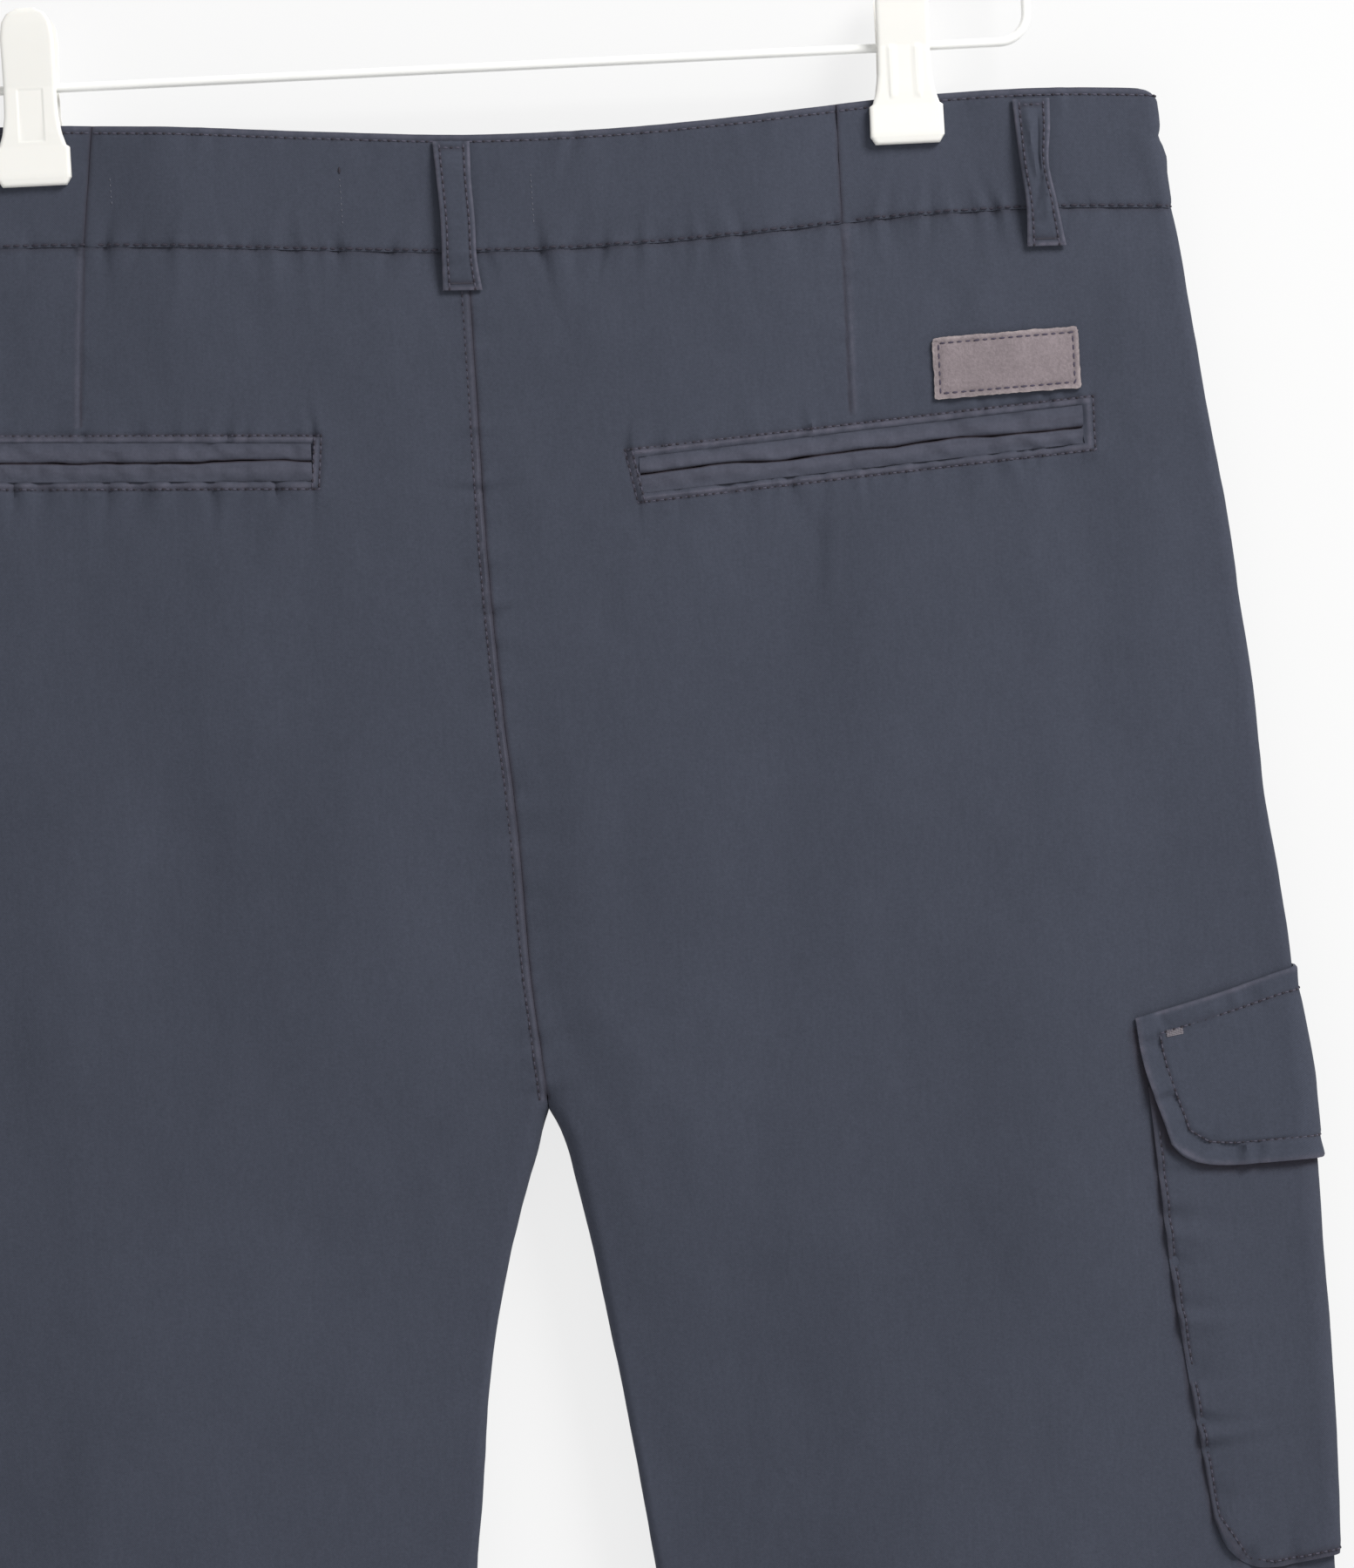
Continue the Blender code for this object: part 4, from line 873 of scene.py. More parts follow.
def back_cloth(side):
    """A back panel's sewing: centre seam, dart, waist seam, pocket, cargo pocket and hem."""
    pocket, dart = pocket_of(side), DARTS[side]
    ends = (2.0, 236.0) if side > 0 else (-236.0, -2.0)
    top_edge = band_path(*ends, BAND_HEIGHT)
    beside_seam = (0.0, -STITCH_INSET / 2, -STITCH_INSET)
    seam, ridge, stitch = (centre_path(SEAM_TOP, SEAM_FOOT, off) for off in beside_seam)
    dart_top, dart_foot = dart.top_down - DART_STARTS_ABOVE, dart.foot_down - DART_FADES
    dart_path = ((dart.top_x, dart_top), (dart.foot_x, dart_foot))
    border = pocket_box(pocket, WINDOW_HALF + BORDER_OUT, BORDER_END)
    double = pocket_box(pocket, WINDOW_HALF + BORDER_OUT, BORDER_END - BORDER_ROW)
    hem, hem_edge = hem_lines(side, 300.0)
    lines = [
        Line(seam, -0.26, 0.65, 0.50),
        Line(top_edge, -0.10, 1.2, 0.24),
        Line(dart_path, -0.30, 0.50, 0.42),
        Line([(x + side * 1.5, v) for x, v in dart_path], 0.22, 0.8, 0.0, 0.20),
        hem,
        hem_edge,
        Line(border, -0.42, 0.62, 0.30),
        Line(pocket_box(pocket, WINDOW_HALF + 1.7, 1.9), 0.42, 0.80, 0.0, 0.40),
        Line(pocket_box(pocket, WINDOW_HALF + 0.2, 0.4), -0.16, 0.50, 0.10),
    ]
    # Painted shadow of the cargo flap and pouch, darkening the panel beside their back edges.
    for piece, width, shade in (("flap", 1.7, 0.60), ("pouch", 0.9, 0.45)):
        outline = [(turn, v) for turn, v in cargo_border(piece, -0.3, 0.1) if turn < 0]
        shadow = [(float(past_fold(side, turn, v)), v) for turn, v in outline]
        lines.append(Line(shadow, 0.0, width, shade))
    gathers = [
        Gather(top_edge, 0, 6.5, 3.6, 2.3, WAIST_SEED, ends[0]),
        Gather(seam, 0, 5.0, 3.8, 1.5, CENTRE_SEED),
        Gather(border[:2], 0, 4.0, 2.9, 1.6),
        Gather(border[2:4], 0, 5.5, 2.9, 2.1),
        Gather(dart_path, 0, 4.0, 3.2, 1.1),
        Gather(hem.path, 0, 6.0, 5.0, 0.6),
    ]
    rows = [Row("seam", border), Row("seam", (double[0], double[3]))]
    if side < 0:
        lines += [Line(ridge, 0.42, 1.0, 0.0, 0.24), Line(stitch, -0.34, 0.55, 0.28)]
        rows.append(Row("seam", stitch))
    return Cloth(on_back, SEEDS[f"back_{word_of(side)}"], lines, gathers, BACK_CREASES[side], rows)


def on_back(u, v, lift):
    """A point of a back panel, from its x and its real height."""
    return on_face(-1, u, v, lift)


def on_front(u, v, lift):
    """A point of a front panel, from its x and its nominal height."""
    return on_level(1, u, v, lift)


def window_rows(pocket):
    """Levels of the two edges of the pocket's window, where the rows run along the slit."""
    middle = (pocket.inner_x + pocket.outer_x) / 2
    level = float(nominal(middle, slit_down(pocket, middle)))
    return level - WINDOW_HALF, level + WINDOW_HALF


def wall_depth(down):
    """The hem is turned up, so the wall is double there."""
    return PANEL_WALL * (1 + smooth((down - (OUTSEAM - HEM_HEIGHT)) / 0.6))


def back_grid(side):
    """around and down of a back panel's points, and the cells of its pocket's window.

    The rows follow the pocket's slope: all the way beside the window, and fading away from it."""
    pocket = pocket_of(side)
    top, foot = window_rows(pocket)
    first = BAND_HEIGHT + SEWN_GAP
    upper = (
        (first + 4, 0.8), (top - 5, 1.9), (top, 0.8), (foot, 1.2), (foot + 5, 0.8), (foot + 40, 1.9)
    )
    lower = (
        (FORK - FORK_ROUND, 2.6), (FORK + 4, 0.9), (HEM_STITCH - 2, 2.9), (HEM_STITCH + 2, 0.8)
    )
    levels = stations(first, *upper, *lower, (HEM_TURN, 2.6), (OUTSEAM, 0.6))

    ends = [
        float(around_at(side, -1, x, (top + foot) / 2)) for x in (pocket.inner_x, pocket.outer_x)
    ]
    dart = float(around_at(side, -1, DARTS[side].foot_x, 80.0))
    millimetre = (ends[1] - ends[0]) / abs(pocket.outer_x - pocket.inner_x)
    fine, coarse, near = 0.8 * millimetre, 1.75 * millimetre, 3.2 * millimetre
    panel = stations(
        0,
        (INNER_SHARE, 0.008),
        (ends[0] - near - 2.4 * millimetre, coarse),
        (ends[0], fine),
        (ends[0] + 2 * millimetre, fine),
        (dart - near, coarse),
        (dart + near, fine),
        (ends[1] - 2 * millimetre, coarse),
        (ends[1], fine),
        (ends[1] + near + 2.4 * millimetre, fine),
        (1 - OUTER_SHARE, coarse),
        (1 + OUTER_SHARE, 0.018),
    )
    seam_turns = np.linspace(QUARTER, SIDE_SEAM - SEWN_GAP, 9)[1:]
    around = np.zeros((len(levels), len(panel) + len(seam_turns)))
    around[:, : len(panel)] = panel
    around[:, len(panel) :] = around_from_fold(side, seam_turns[None], levels[:, None])
    down = np.broadcast_to(levels[:, None], around.shape).copy()
    across = across_of(side, around, down)
    middle = (pocket.inner_x + pocket.outer_x) / 2
    slope = nominal(across, slit_down(pocket, across)) - nominal(middle, slit_down(pocket, middle))
    follows = smooth((levels - BAND_HEIGHT) / (top - BAND_HEIGHT))
    follows = follows * (1 - smooth((levels - foot) / SLANT_FADE))
    down = down + follows[:, None] * slope
    rows = [int(np.abs(levels - level).argmin()) for level in (top, foot)]
    ends = [int(np.abs(around[0] - end).argmin()) for end in ends]
    return around, down, (slice(*rows), slice(*ends))


def back_panel(side):
    cloth, word = back_cloth(side), word_of(side)
    around, down, window = back_grid(side)
    u, v = unrolled(side, around, down), drop(around, across_of(side, around, down), down)
    lift = cloth.relief(u, v)
    outside = skin(side, around, down, lift)
    inside = skin(side, around, down, -wall_depth(down) + np.minimum(lift, 0) * 0.5)
    carriers, marks = ["cloth_band_centre", f"cloth_band_{word}"], cloth.marks(u, v)
    names = f"cloth_back_{word}", f"back_panel_{word}"
    sew(*names, carriers, outside, inside, (u, v), marks, opening=window)
    return cloth


# ---- the front panels

FLY_WIDTH, FLY_FOOT, FLY_ROUND, FLY_FROM_SEAM, FLY_ROW = 36.0, 214.0, 28.8, 3.0, 5.0
FRONT_CREASES = {
    +1: (
        (60, 52, 66, 96, 6.0, 0.4),
        (120, 50, 112, 104, 6.0, -0.4),
        (168, 52, 176, 120, 6.0, 0.45),
        (20, 246, 62, 318, 6.0, -0.5),
        (30, 262, 88, 312, 7.0, 0.45),
        (200, 180, 208, 258, 8.0, -0.4),
        (110, 400, 122, 480, 9.0, 0.4),
    ),
    -1: (
        (-56, 52, -62, 104, 6.0, 0.4),
        (-128, 50, -120, 112, 6.0, -0.4),
        (-176, 54, -182, 116, 6.0, 0.45),
        (-14, 238, -58, 312, 6.0, -0.5),
        (-22, 262, -84, 306, 7.0, 0.45),
        (-196, 190, -206, 264, 8.0, -0.4),
        (-104, 410, -118, 490, 9.0, 0.4),
    ),
}


def fly_path():
    """The fly's J-shaped stitching, left of the centre front, curving in to the seam."""
    start, turn_down = -FLY_WIDTH, FLY_FOOT - FLY_ROUND
    curve = [(start, 42.0), (start, turn_down)]
    for angle in np.radians(np.arange(15, 91, 15)):
        x = start + (FLY_WIDTH - FLY_FROM_SEAM) * (1 - math.cos(angle))
        curve.append((x, turn_down + FLY_ROUND * math.sin(angle)))
    return curve


def front_cloth(side):
    top_edge = [(side * x, BAND_HEIGHT) for x in np.linspace(2, 236, 12)]
    seam = centre_path(SEAM_TOP, SEAM_FOOT)
    lines = [
        Line(seam, -0.60, 0.75, 0.85), Line(top_edge, -0.70, 1.0, 0.60), *hem_lines(side, 260.0)
    ]
    gathers = [Gather(top_edge, 0, 9.0, 6.5, 1.2), Gather(seam, 0, 7.0, 7.0, 0.8)]
    rows = []
    if side < 0:
        fly = fly_path()
        lines.append(Line(fly, -0.30, 0.6, 0.3))
        gathers.append(Gather(fly, 0, 5.0, 5.0, 0.7))
        paths = (centre_path(FLY_FOOT + 4, SEAM_FOOT, -STITCH_INSET), fly, inset(fly, -FLY_ROW))
        rows = [Row("seam", path) for path in paths]
    return Cloth(
        on_front, SEEDS[f"front_{word_of(side)}"], lines, gathers, FRONT_CREASES[side], rows
    )


def front_panel(side):
    cloth, word = front_cloth(side), word_of(side)
    first = BAND_HEIGHT + SEWN_GAP
    upper = ((first + 4, 1.0), (FORK - FORK_ROUND, 3.2), (FORK + 4, 1.0))
    lower = ((HEM_STITCH - 2, 3.4), (HEM_STITCH + 2, 1.0), (HEM_TURN, 3.0), (OUTSEAM, 0.8))
    levels = stations(first, *upper, *lower)
    inner = 2 - stations(0, (INNER_SHARE, 0.01))
    side_seam = around_from_fold(side, np.full(len(levels), SIDE_SEAM + SEWN_GAP), levels)
    flat = (
        (2 - INNER_SHARE) + (side_seam[:, None] - 2 + INNER_SHARE) * np.linspace(0, 1, 70)[None, 1:]
    )
    around = np.concatenate([np.broadcast_to(inner, (len(levels), len(inner))), flat], axis=1)
    down = np.broadcast_to(levels[:, None], around.shape)
    u = across_of(side, around, down)
    outside = skin(side, around, down, cloth.relief(u, down))
    inside = skin(side, around, down, -wall_depth(down))
    names = f"cloth_front_{word}", f"front_panel_{word}"
    sew(*names, [f"cloth_band_{word}"], outside, inside, (u + FRONT_AT, down), cloth.marks(u, down))
    return cloth


# ---- the waistband

BAND_STITCH_TOP, BAND_STITCH_FOOT = 2.4, BAND_HEIGHT - 0.8
BAND_ROLL_TOP, BAND_ROLL_FOOT = (0.5, 2.5), (0.30, 0.9)  # how far each edge rolls in, and over what
BAND_CORNER, BAND_TUCK_WIDTH = 4.6, 6.5
BAND_DENT_AT, BAND_DENT = (9, 13, 16, 19, 23, 28), (0, 0.3, 1.4, 0.2, -0.6, 0)  # at its folds
BAND_MARKS = table(
    "across top foot hole_top",
    (-122.9, 17.0, 26.5, False),
    (-44.7, 15.2, 31.5, True),
    (20.0, 13.5, 31.0, False),
)
BAND_CENTRE_CREASES = (
    (-100, 8, -94, 34, 5, 0.22),
    (-70, 6, -74, 32, 6, -0.2),
    (-24, 8, -26, 34, 4, -0.25),
    (38, 6, 44, 34, 6, 0.22),
    (84, 8, 80, 32, 5, -0.22),
    (110, 9, 112, 30, 5, 0.2),
)
BAND_SIDE_CREASES = (
    (-96, 8, -92, 32, 5, 0.2),
    (-62, 7, -66, 33, 5, -0.2),
    (-9, 12, -7, 34, 3.0, 0.45),
    (-3, 15, -2, 36, 2.2, -0.55),
    (40, 8, 44, 34, 6, 0.24),
    (150, 8, 156, 33, 7, -0.24),
)


def band_lift(down):
    """The band stands proud of the panels, and its two edges roll in."""
    top = BAND_ROLL_TOP[0] * (1 - smooth(down / BAND_ROLL_TOP[1]))
    foot = BAND_ROLL_FOOT[0] * (1 - smooth((BAND_HEIGHT - SEWN_GAP - down) / BAND_ROLL_FOOT[1]))
    return BAND_PROUD - top - foot


def band_levels():
    foot = BAND_HEIGHT - SEWN_GAP
    return stations(0.0, (1.2, 0.4), (5, 0.75), (foot - 5, 1.8), (foot - 1, 0.75), (foot, 0.35))


def band_cloth(at, seed, start, end, phase, side, pieced, creases, marks=()):
    """The sewing along a piece of the band, in its own coordinates.

    `phase` is the x of the end that lies furthest left, `pieced` its seams with its neighbours."""
    step = np.linspace(start, end, 8)
    top, foot, edge = (
        [(float(u), v) for u in step] for v in (BAND_STITCH_TOP, BAND_STITCH_FOOT, 0.6)
    )
    lines = [
        Line(top, -0.24, 0.6, 0.22), Line(foot, -0.24, 0.8, 0.14), Line(edge, 0.0, 0.9, 0.0, 0.22)
    ]
    lines += [Line(path, -0.35, 0.7, 0.45) for path in pieced]
    gathers = [
        Gather(top, 0, 5.0, 4.2, 0.9), Gather(foot[::side], 0, 5.5, 3.6, 2.1, WAIST_SEED, phase)
    ]
    gathers += [Gather(path, 0, 5.0, 6.0, 0.5) for path in pieced]
    return Cloth(
        at, seed, lines, gathers, creases, [Row("band_top", top), Row("band", foot), *marks], 0.5
    )


def band_centre():
    """The waistband's piece across the back, between its two pieced seams."""

    def at(u, v, lift):
        return on_face(-1, u, v + raised(u, v), band_lift(v) + lift)

    left = ((BAND_SEAM_LEFT, 0), (BAND_SEAM_LEFT + BAND_SEAM_LEAN, BAND_HEIGHT))
    right = ((BAND_SEAM_RIGHT, 0), (BAND_SEAM_RIGHT, BAND_HEIGHT))
    marks = [Row("mark", ((m.across, m.top), (m.across + 0.3, m.foot))) for m in BAND_MARKS]
    holed = [m for m in BAND_MARKS if m.hole_top]
    marks += [Row("nick", ((m.across, m.top - 4.4), (m.across, m.top))) for m in holed]
    ends = (BAND_SEAM_LEFT, BAND_SEAM_RIGHT, BAND_SEAM_LEFT)
    cloth = band_cloth(
        at, SEEDS["band_centre"], *ends, 1, (left, right), BAND_CENTRE_CREASES, marks
    )
    levels = band_levels()
    share = stations(0, (0.012, 0.003), (0.988, 0.0062), (1.0, 0.003))
    start = BAND_SEAM_LEFT + BAND_SEAM_LEAN * levels / BAND_HEIGHT + SEWN_GAP
    u = start[:, None] + (BAND_SEAM_RIGHT - SEWN_GAP - start)[:, None] * share
    v = np.broadcast_to(levels[:, None], u.shape)
    outside, inside = at(u, v, cloth.relief(u, v)), on_face(-1, u, v + raised(u, v), BAND_INSIDE)
    levers = ["hanger_lever_back_left", "hanger_lever_back_right"]
    names = "cloth_band_centre", "waistband_centre"
    sew(*names, levers, outside, inside, (u, v + BAND_AT), cloth.marks(u, v))
    return cloth


def band_side(side):
    """A side piece, from its pieced seam round the fold to the centre front."""
    word = word_of(side)

    def at(u, v, lift):
        return skin(side, around_from_fold(side, u, v), v, band_lift(v) + lift)

    levels = band_levels()
    seam_x = BAND_SEAM_RIGHT if side > 0 else BAND_SEAM_LEFT + BAND_SEAM_LEAN * levels / BAND_HEIGHT
    seam = np.broadcast_to(seam_x + side * SEWN_GAP, levels.shape)
    end_x = read(SECTIONS, "centre", levels) + side * BAND_ENDS[word]
    start = turn_of(side, around_at(side, -1, seam, levels), levels)
    end = turn_of(side, around_at(side, 1, end_x, levels), levels)
    back = stations(0, (0.02, 0.006), (1, 0.014))
    fold = stations(-QUARTER, (QUARTER, 1.05))[1:]
    front = stations(0, (0.98, 0.0115), (1, 0.005))[1:]
    grid = [
        start[:, None] + (-QUARTER - start)[:, None] * back,
        np.broadcast_to(fold, (len(levels), len(fold))),
        QUARTER + (end - QUARTER)[:, None] * front,
    ]
    u = np.concatenate(grid, axis=1)
    v = np.broadcast_to(levels[:, None], u.shape)
    first, last = float(start[0]), float(end.min()) - 2
    phase = past_fold(side, first if side > 0 else last, BAND_HEIGHT)
    seam_line = ((first, 0.0), (float(start[-1]), BAND_HEIGHT))
    seed = SEEDS[f"band_{word}"]
    cloth = band_cloth(at, seed, first, last, phase, side, (seam_line,), BAND_SIDE_CREASES)
    corner = np.clip(1 - v / BAND_CORNER, 0, 1)
    tuck = BAND_CORNER * (1 - np.sqrt(1 - corner**2)) + np.interp(v, BAND_DENT_AT, BAND_DENT)
    tuck = tuck * bell(u, BAND_TUCK_WIDTH)
    outside = at(u, v, cloth.relief(u, v))
    inside = skin(side, around_from_fold(side, u, v), v, BAND_INSIDE)
    for points in (outside, inside):
        points[..., 0] -= side * tuck * MM
    if side < 0:  # the button tab, which laps over the other side piece
        over = stations(0, (TAB_LAP - 1.5, 1.3), (TAB_LAP, 0.5))[1:]
        x = end_x[:, None] + over
        rise = TAB_RISE * smooth(over / TAB_EASE)
        v_tab = np.broadcast_to(levels[:, None], x.shape)
        u_tab = np.broadcast_to(end.max() + over, x.shape)
        lift = band_lift(v_tab) + rise + cloth.relief(u_tab, v_tab)
        outside = np.concatenate([outside, on_front(x, v_tab, lift)], axis=1)
        inside = np.concatenate([inside, on_front(x, v_tab, BAND_INSIDE + rise)], axis=1)
        u, v = np.concatenate([u, u_tab], 1), np.concatenate([v, v_tab], 1)
    flat = (u, v + BAND_SIDE_AT + 60 * (side > 0))
    names = f"cloth_band_{word}", f"waistband_{word}"
    sew(*names, [f"hanger_lever_back_{word}"], outside, inside, flat, cloth.marks(u, v))
    return cloth


# ---- belt loops

LOOP_BOW, LOOP_BOW_POWER, LOOP_TACK = 1.3, 0.7, 0.065
# A loop's rounded sides: how far they fall, from which share of its width off its middle, and
# over what share.
LOOP_EDGE, LOOP_EDGE_FROM, LOOP_EDGE_WIDTH = 0.5, 0.42, 0.08
LOOP_END, LOOP_END_LENGTH = 0.5, 1.2
LOOP_ROW_IN, LOOP_TACKS_IN = 2.2, (2.2, 2.3)  # how far in the rows lie from its sides and its ends
BELT_LOOPS = table(
    "name face top_x bottom_x top bottom width",
    ("loop_back_centre", -1, -6.4, -4.9, 2.4, 53.0, 12.8),
    ("loop_back_right", -1, 190.9, 193.6, 3.6, 52.4, 12.4),
    ("loop_back_left", -1, -196.0, -198.4, 3.6, 56.0, 12.4),
    ("loop_front_right", 1, 100.0, 101.5, 3.0, 53.0, 12.4),
    ("loop_front_left", 1, -106.0, -107.5, 3.0, 53.0, 12.4),
)
# How a loop is pinched along its length: its left and right edges, in from its nominal ones, and
# how far each edge is lifted off the band.
LOOP_COLUMNS = "share left right lift_left lift_right"
PLAIN_LOOP = table(
    LOOP_COLUMNS,
    (0.0, 0.0, 0.0, 0.0, 0.0),
    (0.3, 0.3, 0.4, 0.2, 0.0),
    (0.6, 0.5, 0.2, 0.0, 0.3),
    (1.0, 0.0, 0.0, 0.0, 0.0),
)
LOOP_SHAPES = {
    "loop_back_centre": table(
        LOOP_COLUMNS,
        (0.0, 0.1, 0.1, 0.0, 0.0),
        (0.25, 0.6, 0.5, 0.5, 0.2),
        (0.55, 0.9, 0.3, 0.7, 0.3),
        (0.8, 0.3, 0.6, 0.3, 0.8),
        (1.0, -0.2, -0.4, 0.0, 0.0),
    ),
    "loop_back_right": table(
        LOOP_COLUMNS,
        (0.0, -0.1, 0.0, 0.0, 0.0),
        (0.2, 0.0, 1.0, 0.2, 1.2),
        (0.45, 0.4, 2.8, 0.8, 2.0),
        (0.72, 0.9, 1.2, 1.4, 1.0),
        (1.0, -0.2, -0.6, 0.0, 0.0),
    ),
}
# Creases of a loop: u and share of its length at each end, width and height. The right one is
# pinched.
LOOP_CREASES = (
    (-5, 0.80, 3, 0.72, 2.0, 0.5),
    (-4, 0.86, 5, 0.80, 1.6, -0.45),
    (-5, 0.14, 5, 0.18, 1.8, 0.3),
)
PINCHED_CREASES = (
    (-1.8, 0.04, 0.2, 0.56, 1.3, 1.1),
    (2.0, 0.06, 1.6, 0.60, 0.9, -1.1),
    (1.8, 0.52, -3.6, 0.78, 1.0, -0.9),
    (3.8, 0.60, 0.4, 0.84, 1.1, 0.8),
    (-4.4, 0.30, -3.4, 0.62, 1.0, 0.7),
)


def loop_cloth(loop, length):
    shape = LOOP_SHAPES.get(loop.name, PLAIN_LOOP)

    def at(u, v, lift, under=False):
        share = np.clip(v / length, 0, 1)
        held = np.clip((share - LOOP_TACK) / (1 - 2 * LOOP_TACK), 0, 1)
        bow = LOOP_BOW * np.sin(math.pi * held) ** LOOP_BOW_POWER
        left, right = read(shape, "left", share), read(shape, "right", share)
        middle = mix(loop.top_x, loop.bottom_x, share)
        place = np.clip(u / loop.width + 0.5, 0, 1)
        across = middle - loop.width / 2 + left + place * (loop.width - left - right)
        raise_edge = mix(read(shape, "lift_left", share), read(shape, "lift_right", share), place)
        at_side = np.clip((np.abs(place - 0.5) - LOOP_EDGE_FROM) / LOOP_EDGE_WIDTH, 0, 1)
        round_edge = LOOP_EDGE * at_side**2
        end = LOOP_END * (1 - smooth(np.minimum(v, length - v) / LOOP_END_LENGTH))
        down = loop.top + v
        top = 0 if under else LOOP_WALL - round_edge - end
        out = BAND_PROUD + LAY_GAP + bow + raise_edge + top + lift
        if loop.face < 0:
            return on_back(across, down + raised(across, down), out)
        return on_front(across, down, out)

    half = loop.width / 2
    edge, foot = half - LOOP_ROW_IN, length - 0.5
    paths = [((u, 0.4), (u, length - 0.4)) for u in (-edge, edge)]
    ends = [((-edge, v), (edge, v)) for v in (LOOP_TACKS_IN[0], length - LOOP_TACKS_IN[1])]
    lines = [Line(path, -0.30, 0.5, 0.24) for path in paths]
    lines += [Line(path, -0.30, 0.8, 0.35) for path in ends]
    lines += [Line(((-u, 0), (-u, length)), 0.0, 0.7, 0.0, 0.4) for u in (half - 0.4, 0.4 - half)]
    lines += [Line(((-half, foot), (half, foot)), 0.1, 0.6, 0.0, 0.6)]
    gathers = [Gather(path, 0, 2.2, 3.6, 0.45) for path in paths]
    creases = LOOP_CREASES + (PINCHED_CREASES if loop.name == "loop_back_right" else ())
    creases = [(u_a, length * a, u_b, length * b, *size) for u_a, a, u_b, b, *size in creases]
    rows = [Row("seam", path) for path in (*paths, ends[0])] + [Row("tack", ends[1])]
    return Cloth(at, SEEDS["loop"] + BELT_LOOPS.index(loop), lines, gathers, creases, rows, 0.35)


def belt_loop(loop):
    length, half = loop.bottom - loop.top, loop.width / 2
    cloth = loop_cloth(loop, length)
    across = stations(-half, (-half + 1.2, 0.4), (half - 1.2, 1.0), (half, 0.4))
    along = stations(0, (1.5, 0.5), (length - 4, 1.15), (length, 0.5))
    u, v = np.meshgrid(across, along)
    outside, inside = cloth.at(u, v, cloth.relief(u, v)), cloth.at(u, v, 0.0, True)
    band = [
        f"cloth_band_{'centre' if loop.name == 'loop_back_centre' else loop.name.split('_')[-1]}"
    ]
    flat, marks = (v, u + LOOP_AT), cloth.marks(u, v)
    sew(f"cloth_{loop.name}", loop.name, band, outside, inside, flat, marks, held="laid")
    return cloth


# ---- back pockets and the patch

LIP_INSIDE = -PANEL_WALL - 0.35
# Waves are rows of a size, a pitch and a seed. Each lip's edge wavers, and both wander as one.
LIP_WANDER = ((0.8, 26.0, 239), (0.35, 10.0, 237))
LIP_WAVER, LIP_WAVER_LIMITS, LIP_BACK = ((0.20, 9.0, 0), (0.12, 4.0, 1)), (-0.06, 0.26), 0.38
LIP_SUNK, LIP_PUFF, LIP_PUFF_WIDTH = -0.25, 1.05, 0.18
LIP_FALL, LIP_FALL_FROM, LIP_FALL_WIDTH = 0.60, 0.40, 0.6
# LIP_SHADE is painted shade in the slit between the lips, LIP_FOOT_SHADE a little along their foot.
LIP_SHADE, LIP_FOOT_SHADE, LIP_WEAR, LIP_WORN_AT = 0.85, 0.10, 0.22, 0.4


def welts(pocket):
    """The two lips that fill a back pocket's window, with the slit between them."""
    gap, word = pocket.side * SEWN_GAP, word_of(pocket.side)
    across = np.linspace(pocket.inner_x + gap, pocket.outer_x - gap, 141)
    profile = stations(0, (0.2, 0.04), (1, 0.1))[:, None]
    wander, foot = waves(LIP_WANDER, across), WINDOW_HALF - SEWN_GAP
    for part, sign in (("upper", -1), ("lower", 1)):
        seed = SEEDS["welt"] + sign + 4 * pocket.side
        waver = np.clip(waves(LIP_WAVER, across, seed), *LIP_WAVER_LIMITS)
        edge = WELT_SLIT / 2 - LIP_BACK + waver + sign * wander
        off = edge + (foot - edge) * profile
        puff = LIP_SUNK + LIP_PUFF * np.sqrt(np.clip(profile / LIP_PUFF_WIDTH, 0, 1))
        puff = puff - LIP_FALL * smooth((profile - LIP_FALL_FROM) / LIP_FALL_WIDTH)
        wave = (
            0.80 * noise(across / 5.5, off / 5.0, seed + 2)
            + 0.30 * noise(across / 2.8, off / 2.4, seed)
        )
        lift = puff + wave * np.sqrt(np.clip(4 * profile * (1 - profile), 0, 1))
        x = np.broadcast_to(across, off.shape)
        down = nominal(x, slit_down(pocket, x)) + sign * off
        around = around_at(pocket.side, -1, x, down)
        outside = skin(pocket.side, around, down, lift)
        inside = skin(pocket.side, around, down, LIP_INSIDE)
        shade = (
            LIP_SHADE * (1 - smooth(profile / 0.10))
            + LIP_FOOT_SHADE * smooth((profile - 0.9) / 0.1)
        )
        marks = np.stack([shade, LIP_WEAR * (1 - np.abs(profile - LIP_WORN_AT))], -1)
        marks = np.broadcast_to(marks, (*off.shape, 2))
        names, flat = (f"cloth_welt_{part}_{word}", f"welt_{part}_{word}"), (x, down + WELT_AT)
        sew(*names, [f"cloth_back_{word}"], outside, inside, flat, marks, held="laid")


PATCH_LEFT, PATCH_RIGHT = 153.2, 203.0
PATCH_TOP, PATCH_BOTTOM, PATCH_FALL = 76.6, 97.6, -0.04
PATCH_INSET, PATCH_CORNER, PATCH_EDGE = 2.0, 1.3, 0.5
PATCH_CREASES = ((34, 2, 44, 8, 2.4, 0.25), (8, 4, 12, 18, 4.0, -0.12), (28, 3, 24, 18, 5.0, 0.12))
PATCH_ROUGH = ((0.14, 0.9, 271), (0.16, 5.0, 277))


